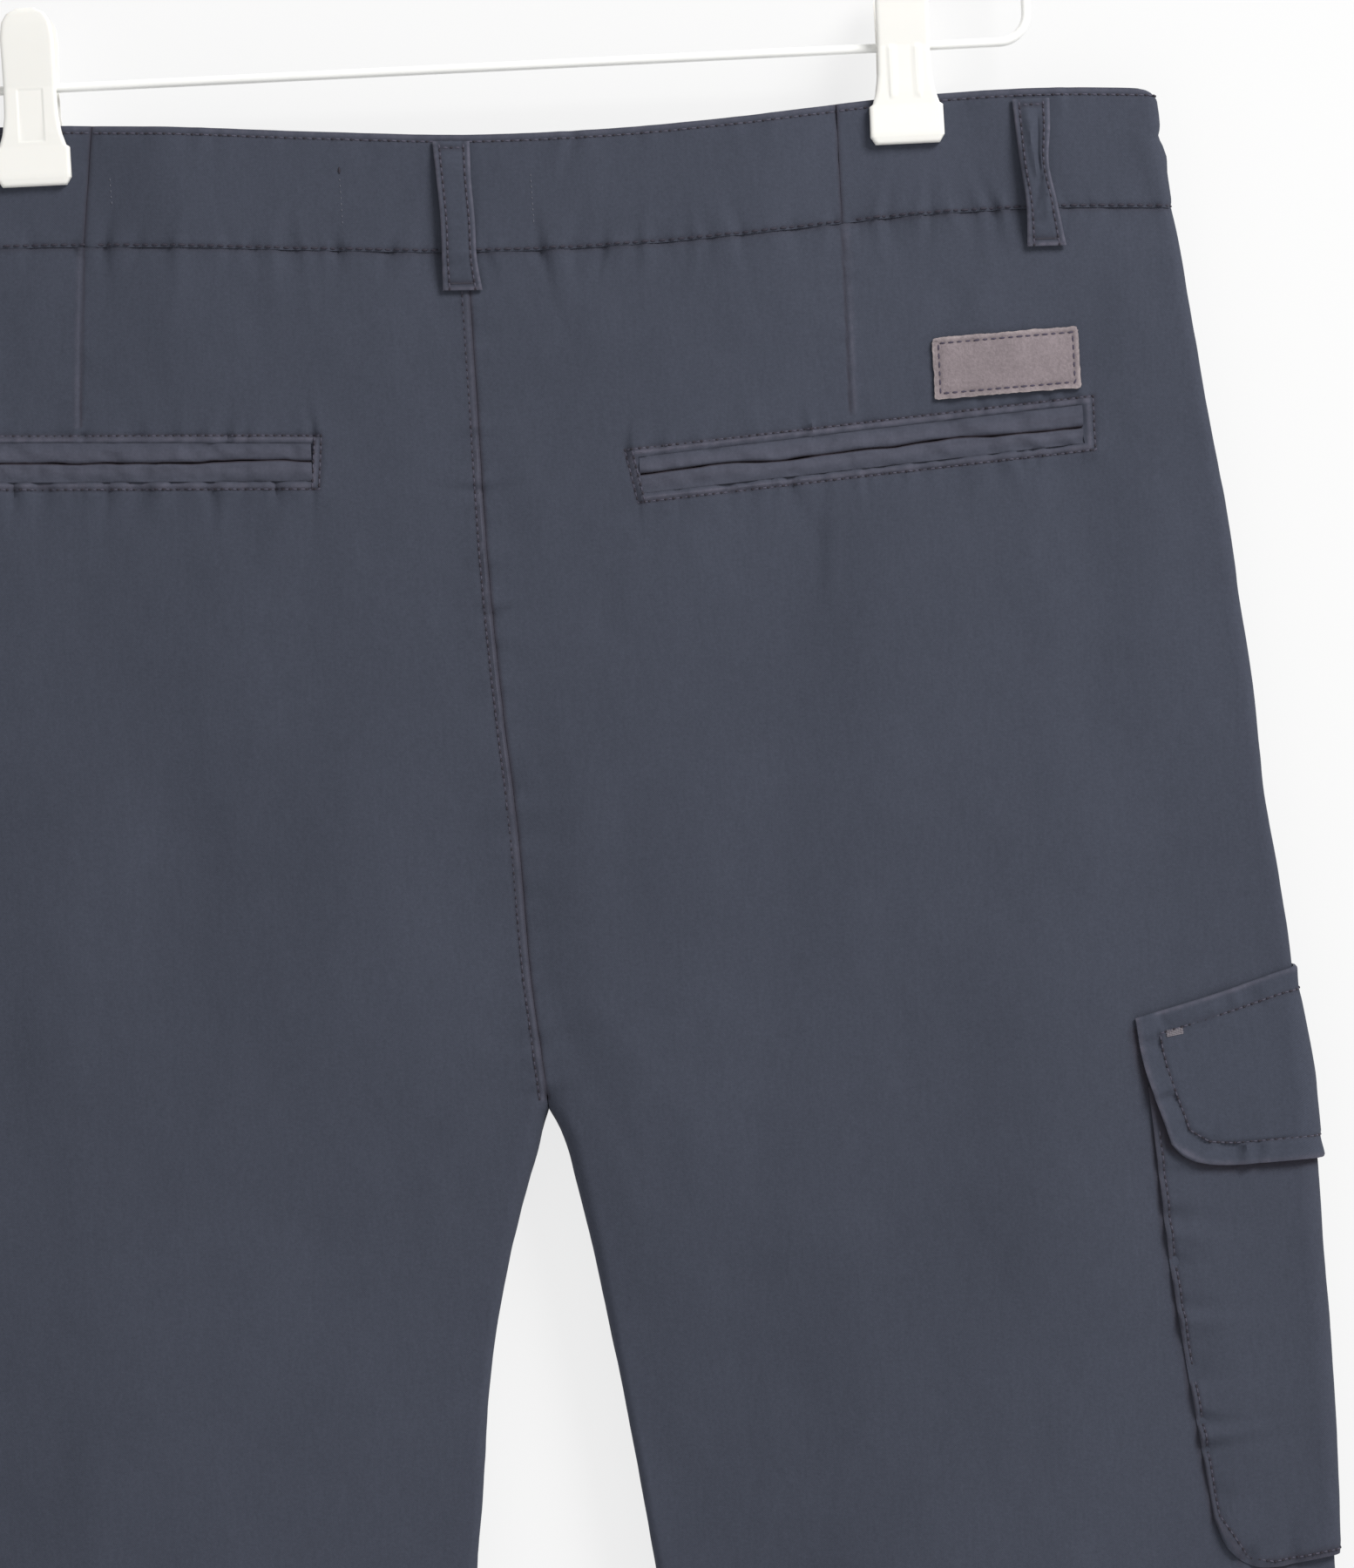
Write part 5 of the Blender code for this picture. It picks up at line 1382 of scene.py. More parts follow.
def patch():
    """The blank sewn patch, with rounded corners and a rough edge."""
    width, height = PATCH_RIGHT - PATCH_LEFT, PATCH_BOTTOM - PATCH_TOP

    def at(u, v, lift):
        return on_back(PATCH_LEFT + u, PATCH_TOP + v + PATCH_FALL * u, LAY_GAP + PATCH_WALL + lift)

    low, high = (PATCH_INSET, PATCH_INSET), (width - PATCH_INSET, height - PATCH_INSET)
    ring = (low, (high[0], low[1]), high, (low[0], high[1]), low)
    border = ((0, 0), (width, 0), (width, height), (0, height), (0, 0))
    lines = (Line(ring, -0.34, 0.60, 0.22), Line(border, -0.25, 0.9, 0.0, 0.60))
    gathers, rows = (Gather(ring, 0, 3.0, 3.6, 0.55),), (Row("patch", ring),)
    cloth = Cloth(at, SEEDS["patch"], lines, gathers, PATCH_CREASES, rows, 0.3)
    across = stations(0, (2.8, 0.45), (width - 2.8, 1.0), (width, 0.45))
    along = stations(0, (2.8, 0.45), (height - 2.8, 0.9), (height, 0.45))
    u, v = np.meshgrid(across, along)
    corner_u, corner_v = np.minimum(u, width - u), np.minimum(v, height - v)
    close = np.clip(1 - corner_u / PATCH_CORNER, 0, 1) * np.clip(1 - corner_v / PATCH_CORNER, 0, 1)
    rim = np.clip(1 - np.minimum(corner_u, corner_v) / PATCH_EDGE, 0, 1)
    rough = [size * rim * ripple(u + 1.7 * v, pitch, seed) for size, pitch, seed in PATCH_ROUGH]
    pull = 0.32 * PATCH_CORNER * close + sum(rough)
    placed = u + np.sign(width / 2 - u) * pull, v + np.sign(height / 2 - v) * pull
    outside, inside = at(*placed, cloth.relief(u, v)), at(*placed, np.full(u.shape, -PATCH_WALL))
    names, carrier = ("suede_patch", "back_patch"), ["cloth_back_right"]
    sew(*names, carrier, outside, inside, (u, v), cloth.marks(u, v), "suede", "laid")
    return cloth


# ---- cargo pockets

CARGO_SPAN = 76.0  # half of its mean width, which its columns are spread over
CARGO_ROUND, CARGO_ROUND_HIGH = 1.4, 0.55
HEIGHTS = {"pouch": 155, "flap": 62}
CARGO_WALLS = {"pouch": POUCH_WALL, "flap": FLAP_WALL}
FLAP_SIDE_CURLS, FLAP_FOOT_CURLS = 9, 7  # over what width from its sides and its foot
CURL_FROM, CURL_EASE = 0.2, 0.3
FLAP_SEAM, FLAP_EDGE_ABOVE_SEAM = 7.5, 6.9  # the row along its top lies this far below its edge
TACK_FROM_SIDE_SEAM, TACK_HALF, TACK_LEAN, TACK_TURNS = 68.5, 2.8, 0.4, (0, 0.45, 0.9, 1.35, 1.8)
FLAP_CREASES = (
    (-48, 350, -40, 340, 2.2, 0.4),
    (-36, 352, -27, 343, 2.2, 0.4),
    (-22, 353, -14, 344, 2.2, 0.35),
    (-50, 330, -42, 334, 2.4, 0.3),
    (20, 350, 30, 338, 3.0, 0.35),
    (56, 346, 64, 336, 3.0, 0.35),
)
POUCH_CREASES = (
    (-38, 380, -30, 470, 7.0, 0.45),
    (-52, 402, -40, 396, 3.0, 0.4),
    (-50, 422, -36, 418, 3.0, -0.35),
    (-50, 440, -38, 446, 3.2, 0.4),
    (-46, 466, -32, 460, 3.2, -0.35),
    (-12, 400, -8, 480, 8.0, -0.4),
    (40, 380, 34, 470, 9.0, 0.4),
    (70, 400, 62, 460, 8.0, -0.4),
)


def cargo_edges(piece, turn, half):
    """Top and bottom of a cargo piece at a distance round from the outer fold."""
    top = read(CARGO_LINES, "flap_top", turn)
    if piece == "pouch":
        top = top + POUCH_TOP_BELOW_FLAP_TOP
    inwards = half - np.abs(turn - SIDE_SEAM)
    bottom = read(CARGO_LINES, piece + "_bottom", turn) - read(CORNERS, piece, inwards)
    return top, bottom, inwards


def cargo_shares(piece, turn, down):
    """Share of the piece's height, mm in from its sides, and its height, at a place on it."""
    share = np.full(np.broadcast(turn, down).shape, 0.5)
    for _ in range(4):
        top, bottom, inwards = cargo_edges(piece, turn, read(CARGO_EDGES, piece, share))
        share = np.clip((down - top) / (bottom - top), 0, 1)
    return share, inwards, bottom - top


def cargo_lift(piece, share, inwards, height):
    """How far out a cargo piece's under side lies. The flap's edges curl out a little."""
    if piece == "pouch":
        from_ends = smooth((1 - share) / PUFF_FROM_FOOT) * smooth(share / PUFF_FROM_TOP)
        return LAY_GAP + POUCH_PUFF * (smooth(inwards / PUFF_EASE) * from_ends)
    side_curl = FLAP_CURL * smooth(1 - inwards / FLAP_SIDE_CURLS) * share
    foot_curl = FLAP_CURL * smooth(1 - (1 - share) * height / FLAP_FOOT_CURLS)
    foot_curl = foot_curl * smooth((share - CURL_FROM) / CURL_EASE)
    return (
        LAY_GAP + FLAP_LIFT * smooth(share * height / FLAP_RISE) + np.maximum(side_curl, foot_curl)
    )


def cargo_border(piece, inside_edge, share_from=0.0):
    """A path just inside a cargo piece's two sides and its bottom, in turns and heights."""
    shares = [float(share) for share in np.linspace(share_from, 1.0, 7)[:-1]]
    across = [(float(column), 1.0) for column in np.linspace(-1, 1, 15)]
    path = []
    for column, share in [(-1.0, s) for s in shares] + across + [(1.0, s) for s in shares[::-1]]:
        half = float(read(CARGO_EDGES, piece, share))
        turn = SIDE_SEAM + column * half
        top, bottom, _ = cargo_edges(piece, turn, half)
        path.append((turn, float(mix(top, bottom, share))))
    return inset(path, -inside_edge) if inside_edge else path


def cargo_cloth(side, piece):
    def at(u, v, lift):
        base = cargo_lift(piece, *cargo_shares(piece, u, v)) + CARGO_WALLS[piece]
        return skin(side, around_from_fold(side, u, v), v, base + lift)

    seed, edge = SEEDS[piece] + side, cargo_border(piece, 0.0)
    if piece == "pouch":
        border = cargo_border("pouch", 1.9, 0.1)
        lines = (
            Line(border, -0.32, 0.6, 0.30),
            Line(edge, 0.12, 0.9, 0.25, 0.16),
            # painted shadow of the flap on the pouch, along the flap's edge
            Line(cargo_border("flap", -0.4), 0.0, 2.0, 0.60),
        )
        gathers, rows = (Gather(border, 0, 9.0, 5.0, 2.0),), (Row("seam", border),)
        return Cloth(at, seed, lines, gathers, POUCH_CREASES, rows, 0.9)
    border = cargo_border("flap", FLAP_SEAM, 0.15)
    turns = np.linspace(SIDE_SEAM - 74, SIDE_SEAM + 74, 12)
    seam = [(float(t), float(read(CARGO_LINES, "flap_top", t)) + FLAP_SEAM) for t in turns]
    lines = (
        Line(border, -0.36, 0.62, 0.20),
        Line(seam, -0.36, 0.62, 0.20),
        Line(edge, 0.10, 1.2, 0.0, 0.40),
        Line([(t, v - FLAP_EDGE_ABOVE_SEAM) for t, v in seam], 0.0, 0.8, 0.0, 0.30),
    )
    gathers = (
        Gather(border, 1, 7.5, 3.6, 3.4),
        Gather(border, -1, 2.6, 3.6, 0.9),
        Gather(seam, -1, 7.5, 4.0, 3.0),
        Gather(seam, 1, 2.6, 4.0, 0.9),
    )
    rows = [Row("seam", border), Row("seam", seam)]
    for turn in (SIDE_SEAM - TACK_FROM_SIDE_SEAM, SIDE_SEAM + TACK_FROM_SIDE_SEAM):
        level = float(read(CARGO_LINES, "flap_top", turn)) + FLAP_SEAM + 0.1
        for below in TACK_TURNS:
            left, right = (turn - TACK_HALF, turn + TACK_HALF)
            ends = ((left, level + below + TACK_LEAN), (right, level + below - TACK_LEAN))
            rows.append(Row("pale", ends))
    return Cloth(at, seed, lines, gathers, FLAP_CREASES, rows, 0.7)


def cargo_piece(side, piece, slot):
    """The pouch or the flap, wrapped round the outer fold."""
    cloth, word = cargo_cloth(side, piece), word_of(side)
    fold = -SIDE_SEAM / CARGO_SPAN
    over_fold = ((fold - 0.1, 0.018), (fold + 0.1, 0.013))
    columns = stations(-1, (-0.88, 0.009), *over_fold, (0.92, 0.036), (1, 0.02))
    rows = stations(0, (0.04, 0.008), (0.84, 1.7 / HEIGHTS[piece]), (1, 0.012))
    share, column = np.meshgrid(rows, columns, indexing="ij")
    half = read(CARGO_EDGES, piece, share)
    turn = SIDE_SEAM + column * half
    top, bottom, inwards = cargo_edges(piece, turn, half)
    down = mix(top, bottom, share)
    around = around_from_fold(side, turn, down)
    base = cargo_lift(piece, share, inwards, bottom - top)
    rim = np.minimum(np.minimum(inwards, bottom - down), down - top)
    rounded_edge = CARGO_ROUND_HIGH * rounding(rim, CARGO_ROUND)
    lift = base + CARGO_WALLS[piece] + cloth.relief(turn, down) - rounded_edge
    outside, inside = skin(side, around, down, lift), skin(side, around, down, base)
    names = f"cloth_{piece}_{word}", f"cargo_{piece}_{word}"
    carriers = [f"cloth_back_{word}", f"cloth_front_{word}"]
    flat, marks = (turn, down + CARGO_AT), cloth.marks(turn, down)
    sew(*names, carriers, outside, inside, flat, marks, slot, "laid")
    return cloth


# ---- the waist button

BUTTON_RADIUS, BUTTON_WALL, BUTTON_RIM, BUTTON_DISH = 8.5, 2.2, 1.4, 0.7
BUTTON_HOLE, BUTTON_HOLE_AT, BUTTON_HOLE_HIGH = 0.9, 2.0, 0.06


def waist_button():
    """A four-hole button, dished inside its rim."""
    down = BAND_HEIGHT / 2
    x = float(read(SECTIONS, "centre", down)) + TAB_LAP - BUTTON_FROM_TAB_END
    centre = on_face(1, x, down, BAND_PROUD + TAB_RISE + BUTTON_CLEAR) / MM
    radius, rim, top = BUTTON_RADIUS, BUTTON_RADIUS - BUTTON_RIM, BUTTON_WALL
    profile = [(0.0, 0.0), (rim, 0.0), (radius - 0.3, 0.15), (radius, 0.6), (radius, top - 0.6)]
    profile += [
        (radius - 0.2, top - 0.15), (radius - 0.6, top), (rim + 0.3, top), (rim, top - 0.15)
    ]
    profile += [(rim - 0.7, top - BUTTON_DISH), (0.0, top - BUTTON_DISH)]
    turned_piece("button_waist", ["waist_button"], profile, [centre], "Y", 48, "button")
    # Its four holes are thin dark discs of painted shade in the dish.
    near, far = -BUTTON_HOLE_AT, BUTTON_HOLE_AT
    disc = [
        (0.0, 0.0), (BUTTON_HOLE, 0.0), (BUTTON_HOLE, BUTTON_HOLE_HIGH), (0.0, BUTTON_HOLE_HIGH)
    ]
    holes = [
        centre + np.array([dx, top - BUTTON_DISH, dz]) for dx in (near, far) for dz in (near, far)
    ]
    turned_piece("button_holes", [], disc, holes, "Y", 14, "button", "needle_hole")


# ---- the hanger

FRAME_HALF, FRAME_CORNER, POST_HEIGHT = 191.0, 9.5, 46.0
NECK_BELOW_HOOK, NECK_HALF = 78.0, 9.0
HOOK_RADIUS, HOOK_FROM, HOOK_TO, HOOK_BEND = 20.6, -55.0, 205.0, 10.0
COLLAR_RADIUS, COLLAR_HEIGHT = 4.6, 12.0
SLEEVE_HALF_LENGTH, SLEEVE_RADIUS, SLEEVE_CORNER = 6.0, 4.2, 0.6
WIRE_BORE = WIRE / 2 + SEAM_GAP

LEVER_ROWS = (  # height below the waist, half width, how far out its under side lies, and wall
    (-50.2, 3.4, 8.6, 1.5),
    (-48.6, 6.3, 8.4, 2.0),
    (-45.4, 8.3, 8.0, 2.3),
    (-40.0, 9.0, 7.3, 2.5),
    (-31.0, 8.9, 5.9, 2.6),
    (-23.6, 8.9, 4.6, 2.6),
    (-14.0, 9.1, 4.0, 2.8),
    (-8.0, 10.0, 3.7, 3.0),
    (-3.7, 11.4, 3.4, 3.0),
    (-3.0, 12.5, 3.2, 3.2),
    (7.2, 12.6, 3.2, 3.4),
    (9.8, 10.9, 3.4, 2.6),
)
LEVER_CROWN, LEVER_ROUND = 0.8, 1.5  # what its sides' rounding takes away, and over what width
LEVER_END_CROWN, LEVER_END_ROUND = 0.7, 1.2  # the same of its two ends
DOME_HALF, DOME_HEIGHT, DOME_LEAST, DOME_FLAT, DOME_FOOT = 9.0, 6.0, 3.4, 0.12, -44.2
JAW_ROUND_FROM, JAW_ROUND, JAW_ROUNDED, JAW_WIDE = 7.4, 2.4, 2.0, 12
# The left lever has a sunk panel on its face and the right one has two ribs.
PANEL_TOP, PANEL_FOOT, PANEL_HALF, PANEL_SUNK = -23.2, -4.8, 4.6, 0.26
RIB_TOP, RIB_FOOT, RIB_AT, RIB_HALF, RIB_HIGH = -24.4, -5.0, 4.4, 0.7, 0.34


def rounded(corners, radius, closed, steps=12):
    """Corners in the XZ plane, joined by straight runs, each corner turned with an arc."""
    path = []
    count = len(corners)
    for k, corner in enumerate(corners):
        if not closed and k in (0, count - 1):
            path.append(np.array(corner, float))
            continue
        before, after = (
            np.array(corners[k - 1]) - corner, np.array(corners[(k + 1) % count]) - corner
        )
        before, after = before / np.hypot(*before), after / np.hypot(*after)
        half = math.acos(np.clip(before @ after, -1, 1)) / 2
        bisector = (before + after) / np.hypot(*(before + after))
        centre = np.array(corner) + bisector * radius / math.sin(half)
        first = np.array(corner) + before * radius / math.tan(half) - centre
        last = np.array(corner) + after * radius / math.tan(half) - centre
        turn = math.atan2(first[0] * last[1] - first[1] * last[0], first @ last)
        for s in range(steps + 1):
            cos, sin = math.cos(turn * s / steps), math.sin(turn * s / steps)
            path.append(centre + (first[0] * cos - first[1] * sin, first[0] * sin + first[1] * cos))
    return [(float(p[0]) * MM, 0.0, float(p[1]) * MM) for p in path]


def hanger_wires():
    bar, shoulder, neck = -BAR_BELOW_HOOK, -BAR_BELOW_HOOK + POST_HEIGHT, -NECK_BELOW_HOOK
    right = [(FRAME_HALF, bar), (FRAME_HALF, shoulder), (NECK_HALF, neck)]
    corners = [(-FRAME_HALF, bar), *right, (-NECK_HALF, neck), (-FRAME_HALF, shoulder)]
    wire_piece("hanger_frame_wire", "hanger_frame", rounded(corners, FRAME_CORNER, True), True)
    centre = WIRE / 2 - HOOK_RADIUS
    angles = np.radians(np.linspace(HOOK_FROM, HOOK_TO, 60))
    arc = [(HOOK_RADIUS * math.cos(a), centre + HOOK_RADIUS * math.sin(a)) for a in angles]
    bend = arc[0][1] + arc[0][0] / math.tan(angles[0])
    stem = rounded([(0.0, neck + WIRE_BORE), (0.0, bend), arc[0]], HOOK_BEND, False)
    wire_piece(
        "hanger_hook_wire", "hanger_hook", stem + [(x * MM, 0.0, z * MM) for x, z in arc[1:]]
    )


def hanger_fittings():
    """The collar under the hook and the two sleeves that the clips pivot on."""
    radius, height = COLLAR_RADIUS, COLLAR_HEIGHT
    profile = [(WIRE_BORE, 0.0), (radius - 0.4, 0.0), (radius, 0.4), (radius, height - 2.5)]
    profile += [(radius - 0.5, height - 1.0), (radius - 1.6, height), (WIRE_BORE, height)]
    centre = (0, 0, -NECK_BELOW_HOOK + WIRE_BORE)
    turned_piece("hanger_collar_ring", ["hanger_collar"], profile, [centre], "Z", 32)
    half, corner, radius = SLEEVE_HALF_LENGTH, SLEEVE_CORNER, SLEEVE_RADIUS
    end = [
        (WIRE_BORE, half), (radius - corner, half), (radius - 0.2, half - 0.2),
        (radius, half - corner)
    ]
    profile = [(r, -along) for r, along in end] + end[::-1]
    for side in (1, -1):
        word, centre = word_of(side), (side * CLIP_X, 0, -BAR_BELOW_HOOK)
        turned_piece(f"hanger_sleeve_{word}", [f"clip_sleeve_{word}"], profile, [centre], "X", 32)


def lever(side, face):
    """A clip's lever: domed top, waist, and jaw, with softened edges."""
    upper = ((-45, 0.55), (-42.4, 0.9), (-25.0, 2.2), (-22.0, 0.4))
    levels = stations(-50.2, *upper, (-7.4, 1.5), (-2.4, 0.28), (7.2, 1.6), (9.8, 0.3))[:, None]
    middle = ((-0.58, 0.07), (-0.4, 0.03), (0.4, 0.1), (0.58, 0.03))
    columns = stations(-1, (-0.86, 0.02), *middle, (0.86, 0.07), (1, 0.02))
    keys, *shapes = zip(*LEVER_ROWS)
    half, under, wall = (np.interp(levels, keys, shape) for shape in shapes)
    top_round = np.clip((levels[0] + DOME_HEIGHT - levels) / DOME_HEIGHT, 0, 1)
    dome = np.maximum(DOME_HALF * np.sqrt(np.clip(1 - top_round**2, DOME_FLAT, 1)), DOME_LEAST)
    half = np.where(levels < DOME_FOOT, np.minimum(half, dome), half)
    jaw_end = np.clip((levels - JAW_ROUND_FROM) / JAW_ROUND, 0, 1)
    at_corner = (levels > JAW_ROUND_FROM) * (half > JAW_WIDE)
    half = half - JAW_ROUNDED * (1 - np.sqrt(1 - jaw_end**2)) * at_corner
    x = side * CLIP_X + columns * half
    crown = LEVER_CROWN * rounding((1 - np.abs(columns)) * half, LEVER_ROUND)
    from_ends = np.minimum(levels - levels[0], levels[-1] - levels)
    crown = crown + LEVER_END_CROWN * rounding(from_ends, LEVER_END_ROUND)
    off = np.abs(x - side * CLIP_X)
    level = np.broadcast_to(levels, x.shape)
    if side < 0:
        edge = np.minimum(PANEL_HALF - off, np.minimum(level - PANEL_TOP, PANEL_FOOT - level))
        crown = crown + PANEL_SUNK * smooth(edge / 0.7)
    else:
        on_rib = smooth((RIB_HALF + 0.5 - np.abs(off - RIB_AT)) / 0.5)
        crown = (
            crown
            - RIB_HIGH * on_rib * smooth((level - RIB_TOP) / 2) * smooth((RIB_FOOT - level) / 2)
        )
    z = np.broadcast_to(WAIST_TOP_Z - levels, x.shape)
    outside = np.stack([x, face * (under + wall - crown), z], -1) * MM
    inside = np.stack([x, face * np.broadcast_to(under, x.shape), z], -1) * MM
    name = f"lever_{'back' if face < 0 else 'front'}_{word_of(side)}"
    piece = wall_piece(f"hanger_{name}", outside, inside, "clip_plastic", sharp=42)
    settle(piece, "clip_plastic", f"clip_{name}")


# ---- node trees


def give(tree, node, inputs):
    """Sets a node's inputs: a value, or a link if it is another node's output."""
    for key, value in inputs.items():
        if isinstance(value, bpy.types.NodeSocket):
            tree.links.new(value, node.inputs[key])
        else:
            node.inputs[key].default_value = value


def add(tree, kind, inputs=None, **settings):
    """A new node, right of those that the tree has."""
    node = tree.nodes.new(kind)
    node.location = (200 * len(tree.nodes), 0)
    for key, value in settings.items():
        setattr(node, key, value)
    give(tree, node, inputs or {})
    return node


def new_group(name, kind, inputs, outputs):
    """An empty node group with sockets of the given names and kinds, and its two ends."""
    group = bpy.data.node_groups.new(name, kind)
    for in_out, sockets in (("INPUT", inputs), ("OUTPUT", outputs)):
        for socket, sort in sockets.items():
            group.interface.new_socket(socket, in_out=in_out, socket_type=f"NodeSocket{sort}")
    return group, add(group, "NodeGroupInput"), add(group, "NodeGroupOutput")


def math_node(tree, operation, *values):
    return add(tree, "ShaderNodeMath", dict(enumerate(values)), operation=operation).outputs[0]


# ---- stitching

# Each kind of stitch: its pitch along a row, its thread's length and width, and its dye. Needle
# holes, where it has them, lie between the stitches as dark beads of painted shade.
Stitch = namedtuple("Stitch", "pitch length width thread hole", defaults=(0.0,))
STITCHES = {
    "seam": Stitch(2.8, 1.7, 0.60, "thread", 0.85),
    "band_top": Stitch(3.2, 1.9, 0.60, "thread", 0.80),
    "band": Stitch(3.3, 2.5, 0.85, "band_thread"),
    "patch": Stitch(2.9, 2.1, 0.70, "patch_thread"),
    "tack": Stitch(0.75, 1.9, 0.42, "dark_thread"),
    "pale": Stitch(0.8, 1.3, 0.55, "pale_thread"),
    "mark": Stitch(1.9, 0.9, 0.40, "mark_thread"),
    "nick": Stitch(2.4, 2.4, 0.90, "needle_hole"),
}
HOLE_LENGTH, SHORTEST_STITCH, LONGEST_STITCH = 1.25, 0.86, 1.12
STITCH_SEED = 7


def stitch_tree(material):
    """Geometry Nodes that put a bead of thread on each point, lying along its `run`."""
    inputs = {"Geometry": "Geometry", "Width": "Float", "Length": "Float", "Seed": "Int"}
    name, kind = f"stitches in {material.name}", "GeometryNodeTree"
    tree, given, result = new_group(name, kind, inputs, {"Geometry": "Geometry"})
    given = given.outputs
    run = add(tree, "GeometryNodeInputNamedAttribute", {"Name": "run"}, data_type="FLOAT_VECTOR")
    align = add(
        tree, "FunctionNodeAlignRotationToVector", {"Vector": run.outputs["Attribute"]}, axis="Z"
    )
    bead = add(tree, "GeometryNodeMeshUVSphere", {"Segments": 6, "Rings": 4, "Radius": 0.5})
    limits = {2: SHORTEST_STITCH, 3: LONGEST_STITCH, "Seed": given["Seed"]}
    uneven = add(tree, "FunctionNodeRandomValue", limits, data_type="FLOAT")
    length = math_node(tree, "MULTIPLY", given["Length"], uneven.outputs[1])
    size = {"X": given["Width"], "Y": given["Width"], "Z": length}
    scale = add(tree, "ShaderNodeCombineXYZ", size).outputs[0]
    beads_at = {"Points": given["Geometry"], "Instance": bead.outputs["Mesh"]}
    turned = {"Rotation": align.outputs["Rotation"], "Scale": scale}
    put = add(tree, "GeometryNodeInstanceOnPoints", beads_at | turned)
    real = add(tree, "GeometryNodeRealizeInstances", {0: put.outputs[0]})
    soft = add(tree, "GeometryNodeSetShadeSmooth", {0: real.outputs[0]})
    paint = add(tree, "GeometryNodeSetMaterial", {0: soft.outputs[0], "Material": material})
    give(tree, result, {0: paint.outputs[0]})
    return tree


def pace(points, pitch, shift):
    """Evenly spaced places along a line of points, and the direction of the line at each."""
    steps = np.linalg.norm(np.diff(points, axis=0), axis=1)
    along = np.concatenate([[0.0], np.cumsum(steps)])
    count = max(1, int(along[-1] / pitch))
    places = (np.arange(count) + 0.5 + shift) * along[-1] / count
    places = places[places <= along[-1]]
    near = (places, places + 0.3 * MM, places - 0.3 * MM)
    spots, ahead, back = (
        np.stack([np.interp(at, along, points[:, k]) for k in range(3)], -1) for at in near
    )
    run = ahead - back
    return spots, run / np.maximum(np.linalg.norm(run, axis=1), 1e-12)[:, None]


def beads(name, spots, runs, width, length, material, seed):
    """One joined mesh of beads of thread, or of dark beads of painted shade in needle holes."""
    mesh = bpy.data.meshes.new(f"{name} points")
    mesh.from_pydata(np.concatenate(spots).tolist(), [], [])
    attribute = mesh.attributes.new("run", "FLOAT_VECTOR", "POINT")
    attribute.data.foreach_set("vector", np.concatenate(runs).astype(np.float32).ravel())
    carrier = new_object(name, mesh)
    modifier = carrier.modifiers.new("stitches", "NODES")
    modifier.node_group = stitch_tree(material)
    sockets = {item.name: item.identifier for item in modifier.node_group.interface.items_tree}
    for socket, value in (("Width", width * MM), ("Length", length * MM), ("Seed", seed)):
        modifier[sockets[socket]] = value
    view_layer = bpy.context.evaluated_depsgraph_get()
    made = bpy.data.meshes.new_from_object(carrier.evaluated_get(view_layer), depsgraph=view_layer)
    carrier.modifiers.remove(modifier)
    if not len(made.polygons):
        raise RuntimeError(f"no stitches were made for {name}")
    carrier.data = made
    carrier.data.name = name
    settle(carrier, "twill")


def sew_rows(cloths, hem_threads):
    """Stitches every row of every cloth, one mesh for each kind of thread and of painted hole
    shade.
    """
    lines = {kind: [] for kind in STITCHES}
    for cloth in cloths:
        for row in cloth.rows:
            lines[row.kind].append(cloth.thread(row.path))
    lines["seam"] += hem_threads
    for kind, stitch in STITCHES.items():
        made = [("stitches", 0.0, stitch.width, stitch.length, stitch.thread)]
        if stitch.hole:
            made.append(("holes", 0.5, stitch.hole, HOLE_LENGTH, "needle_hole"))
        for k, (word, shift, width, length, thread) in enumerate(made):
            spots, runs = zip(*(pace(line, stitch.pitch * MM, shift) for line in lines[kind]))
            beads(f"{word}_{kind}", spots, runs, width, length, MATERIALS[thread], STITCH_SEED + k)


def hem_threads(cloths):
    """The hem's row of stitches round each leg."""
    threads = []
    down = np.full(200, HEM_STITCH)
    for side in (1, -1):
        for part, ends in (("back", (0.01, 0.93)), ("front", (1.07, 1.99))):
            around = np.linspace(*ends, 200)
            relief = cloths[part, side].relief(across_of(side, around, down), down)
            threads.append(skin(side, around, down, relief + THREAD_RISE))
    return threads


# ---- materials

TWILL_INK = (0.0505, 0.0560, 0.0765)
FLAP_INK = (0.0500, 0.0560, 0.0770)
PLASTIC_INK, WIRE_INK, BUTTON_INK = (0.80, 0.79, 0.755), (0.86, 0.86, 0.84), (0.05, 0.055, 0.075)
# Painted shade: the dark colour painted into seams, gaps, the welts' slit and under the flaps.
PAINTED_SEAM_SHADE = (0.028, 0.019, 0.024)  # in the gaps and channels of seams
WEAR_INK = (0.128, 0.120, 0.156)  # chalked edges
SUEDE_INK, SUEDE_PALE, SUEDE_DARKENS = (0.205, 0.172, 0.184), (0.300, 0.258, 0.258), 0.55
# The weave: metres from rib to rib, its slant, how far its ribs wander and over what waves.
WEAVE_PITCH, WEAVE_SLANT, WEAVE_WANDER, WEAVE_WAVES = 0.00056, 0.8, 5.0, 260.0
YARN_TURNS, YARN_SHARE, STREAK_SCALE, STREAK_SQUEEZE = 3.1, 0.3, 620.0, 0.16
CLOTH_WASH, SUEDE_WASH, PLASTIC_WASH, LINT_SCALE = 9.0, 70.0, 60.0, 900.0
THREADS = {
    "thread": (0.070, 0.066, 0.094),
    "band_thread": (0.031, 0.028, 0.042),
    "patch_thread": (0.060, 0.050, 0.078),
    "dark_thread": (0.040, 0.038, 0.052),
    "pale_thread": (0.165, 0.150, 0.170),
    "mark_thread": (0.105, 0.108, 0.135),
    # painted shade for needle holes, the nicks and the button's holes
    "needle_hole": (0.026, 0.022, 0.031),
}
# Glossy materials: name, roughness, scale and strength of mottling, coat and its roughness.
GLOSSY = {
    "wire_coating": ("dipped wire", 0.33, 45.0, 0.05, 0.3, 0.2),  # a little uneven
    "button": ("marbled resin", 0.3, 120.0, 0.5, 0.4, 0.15),
}


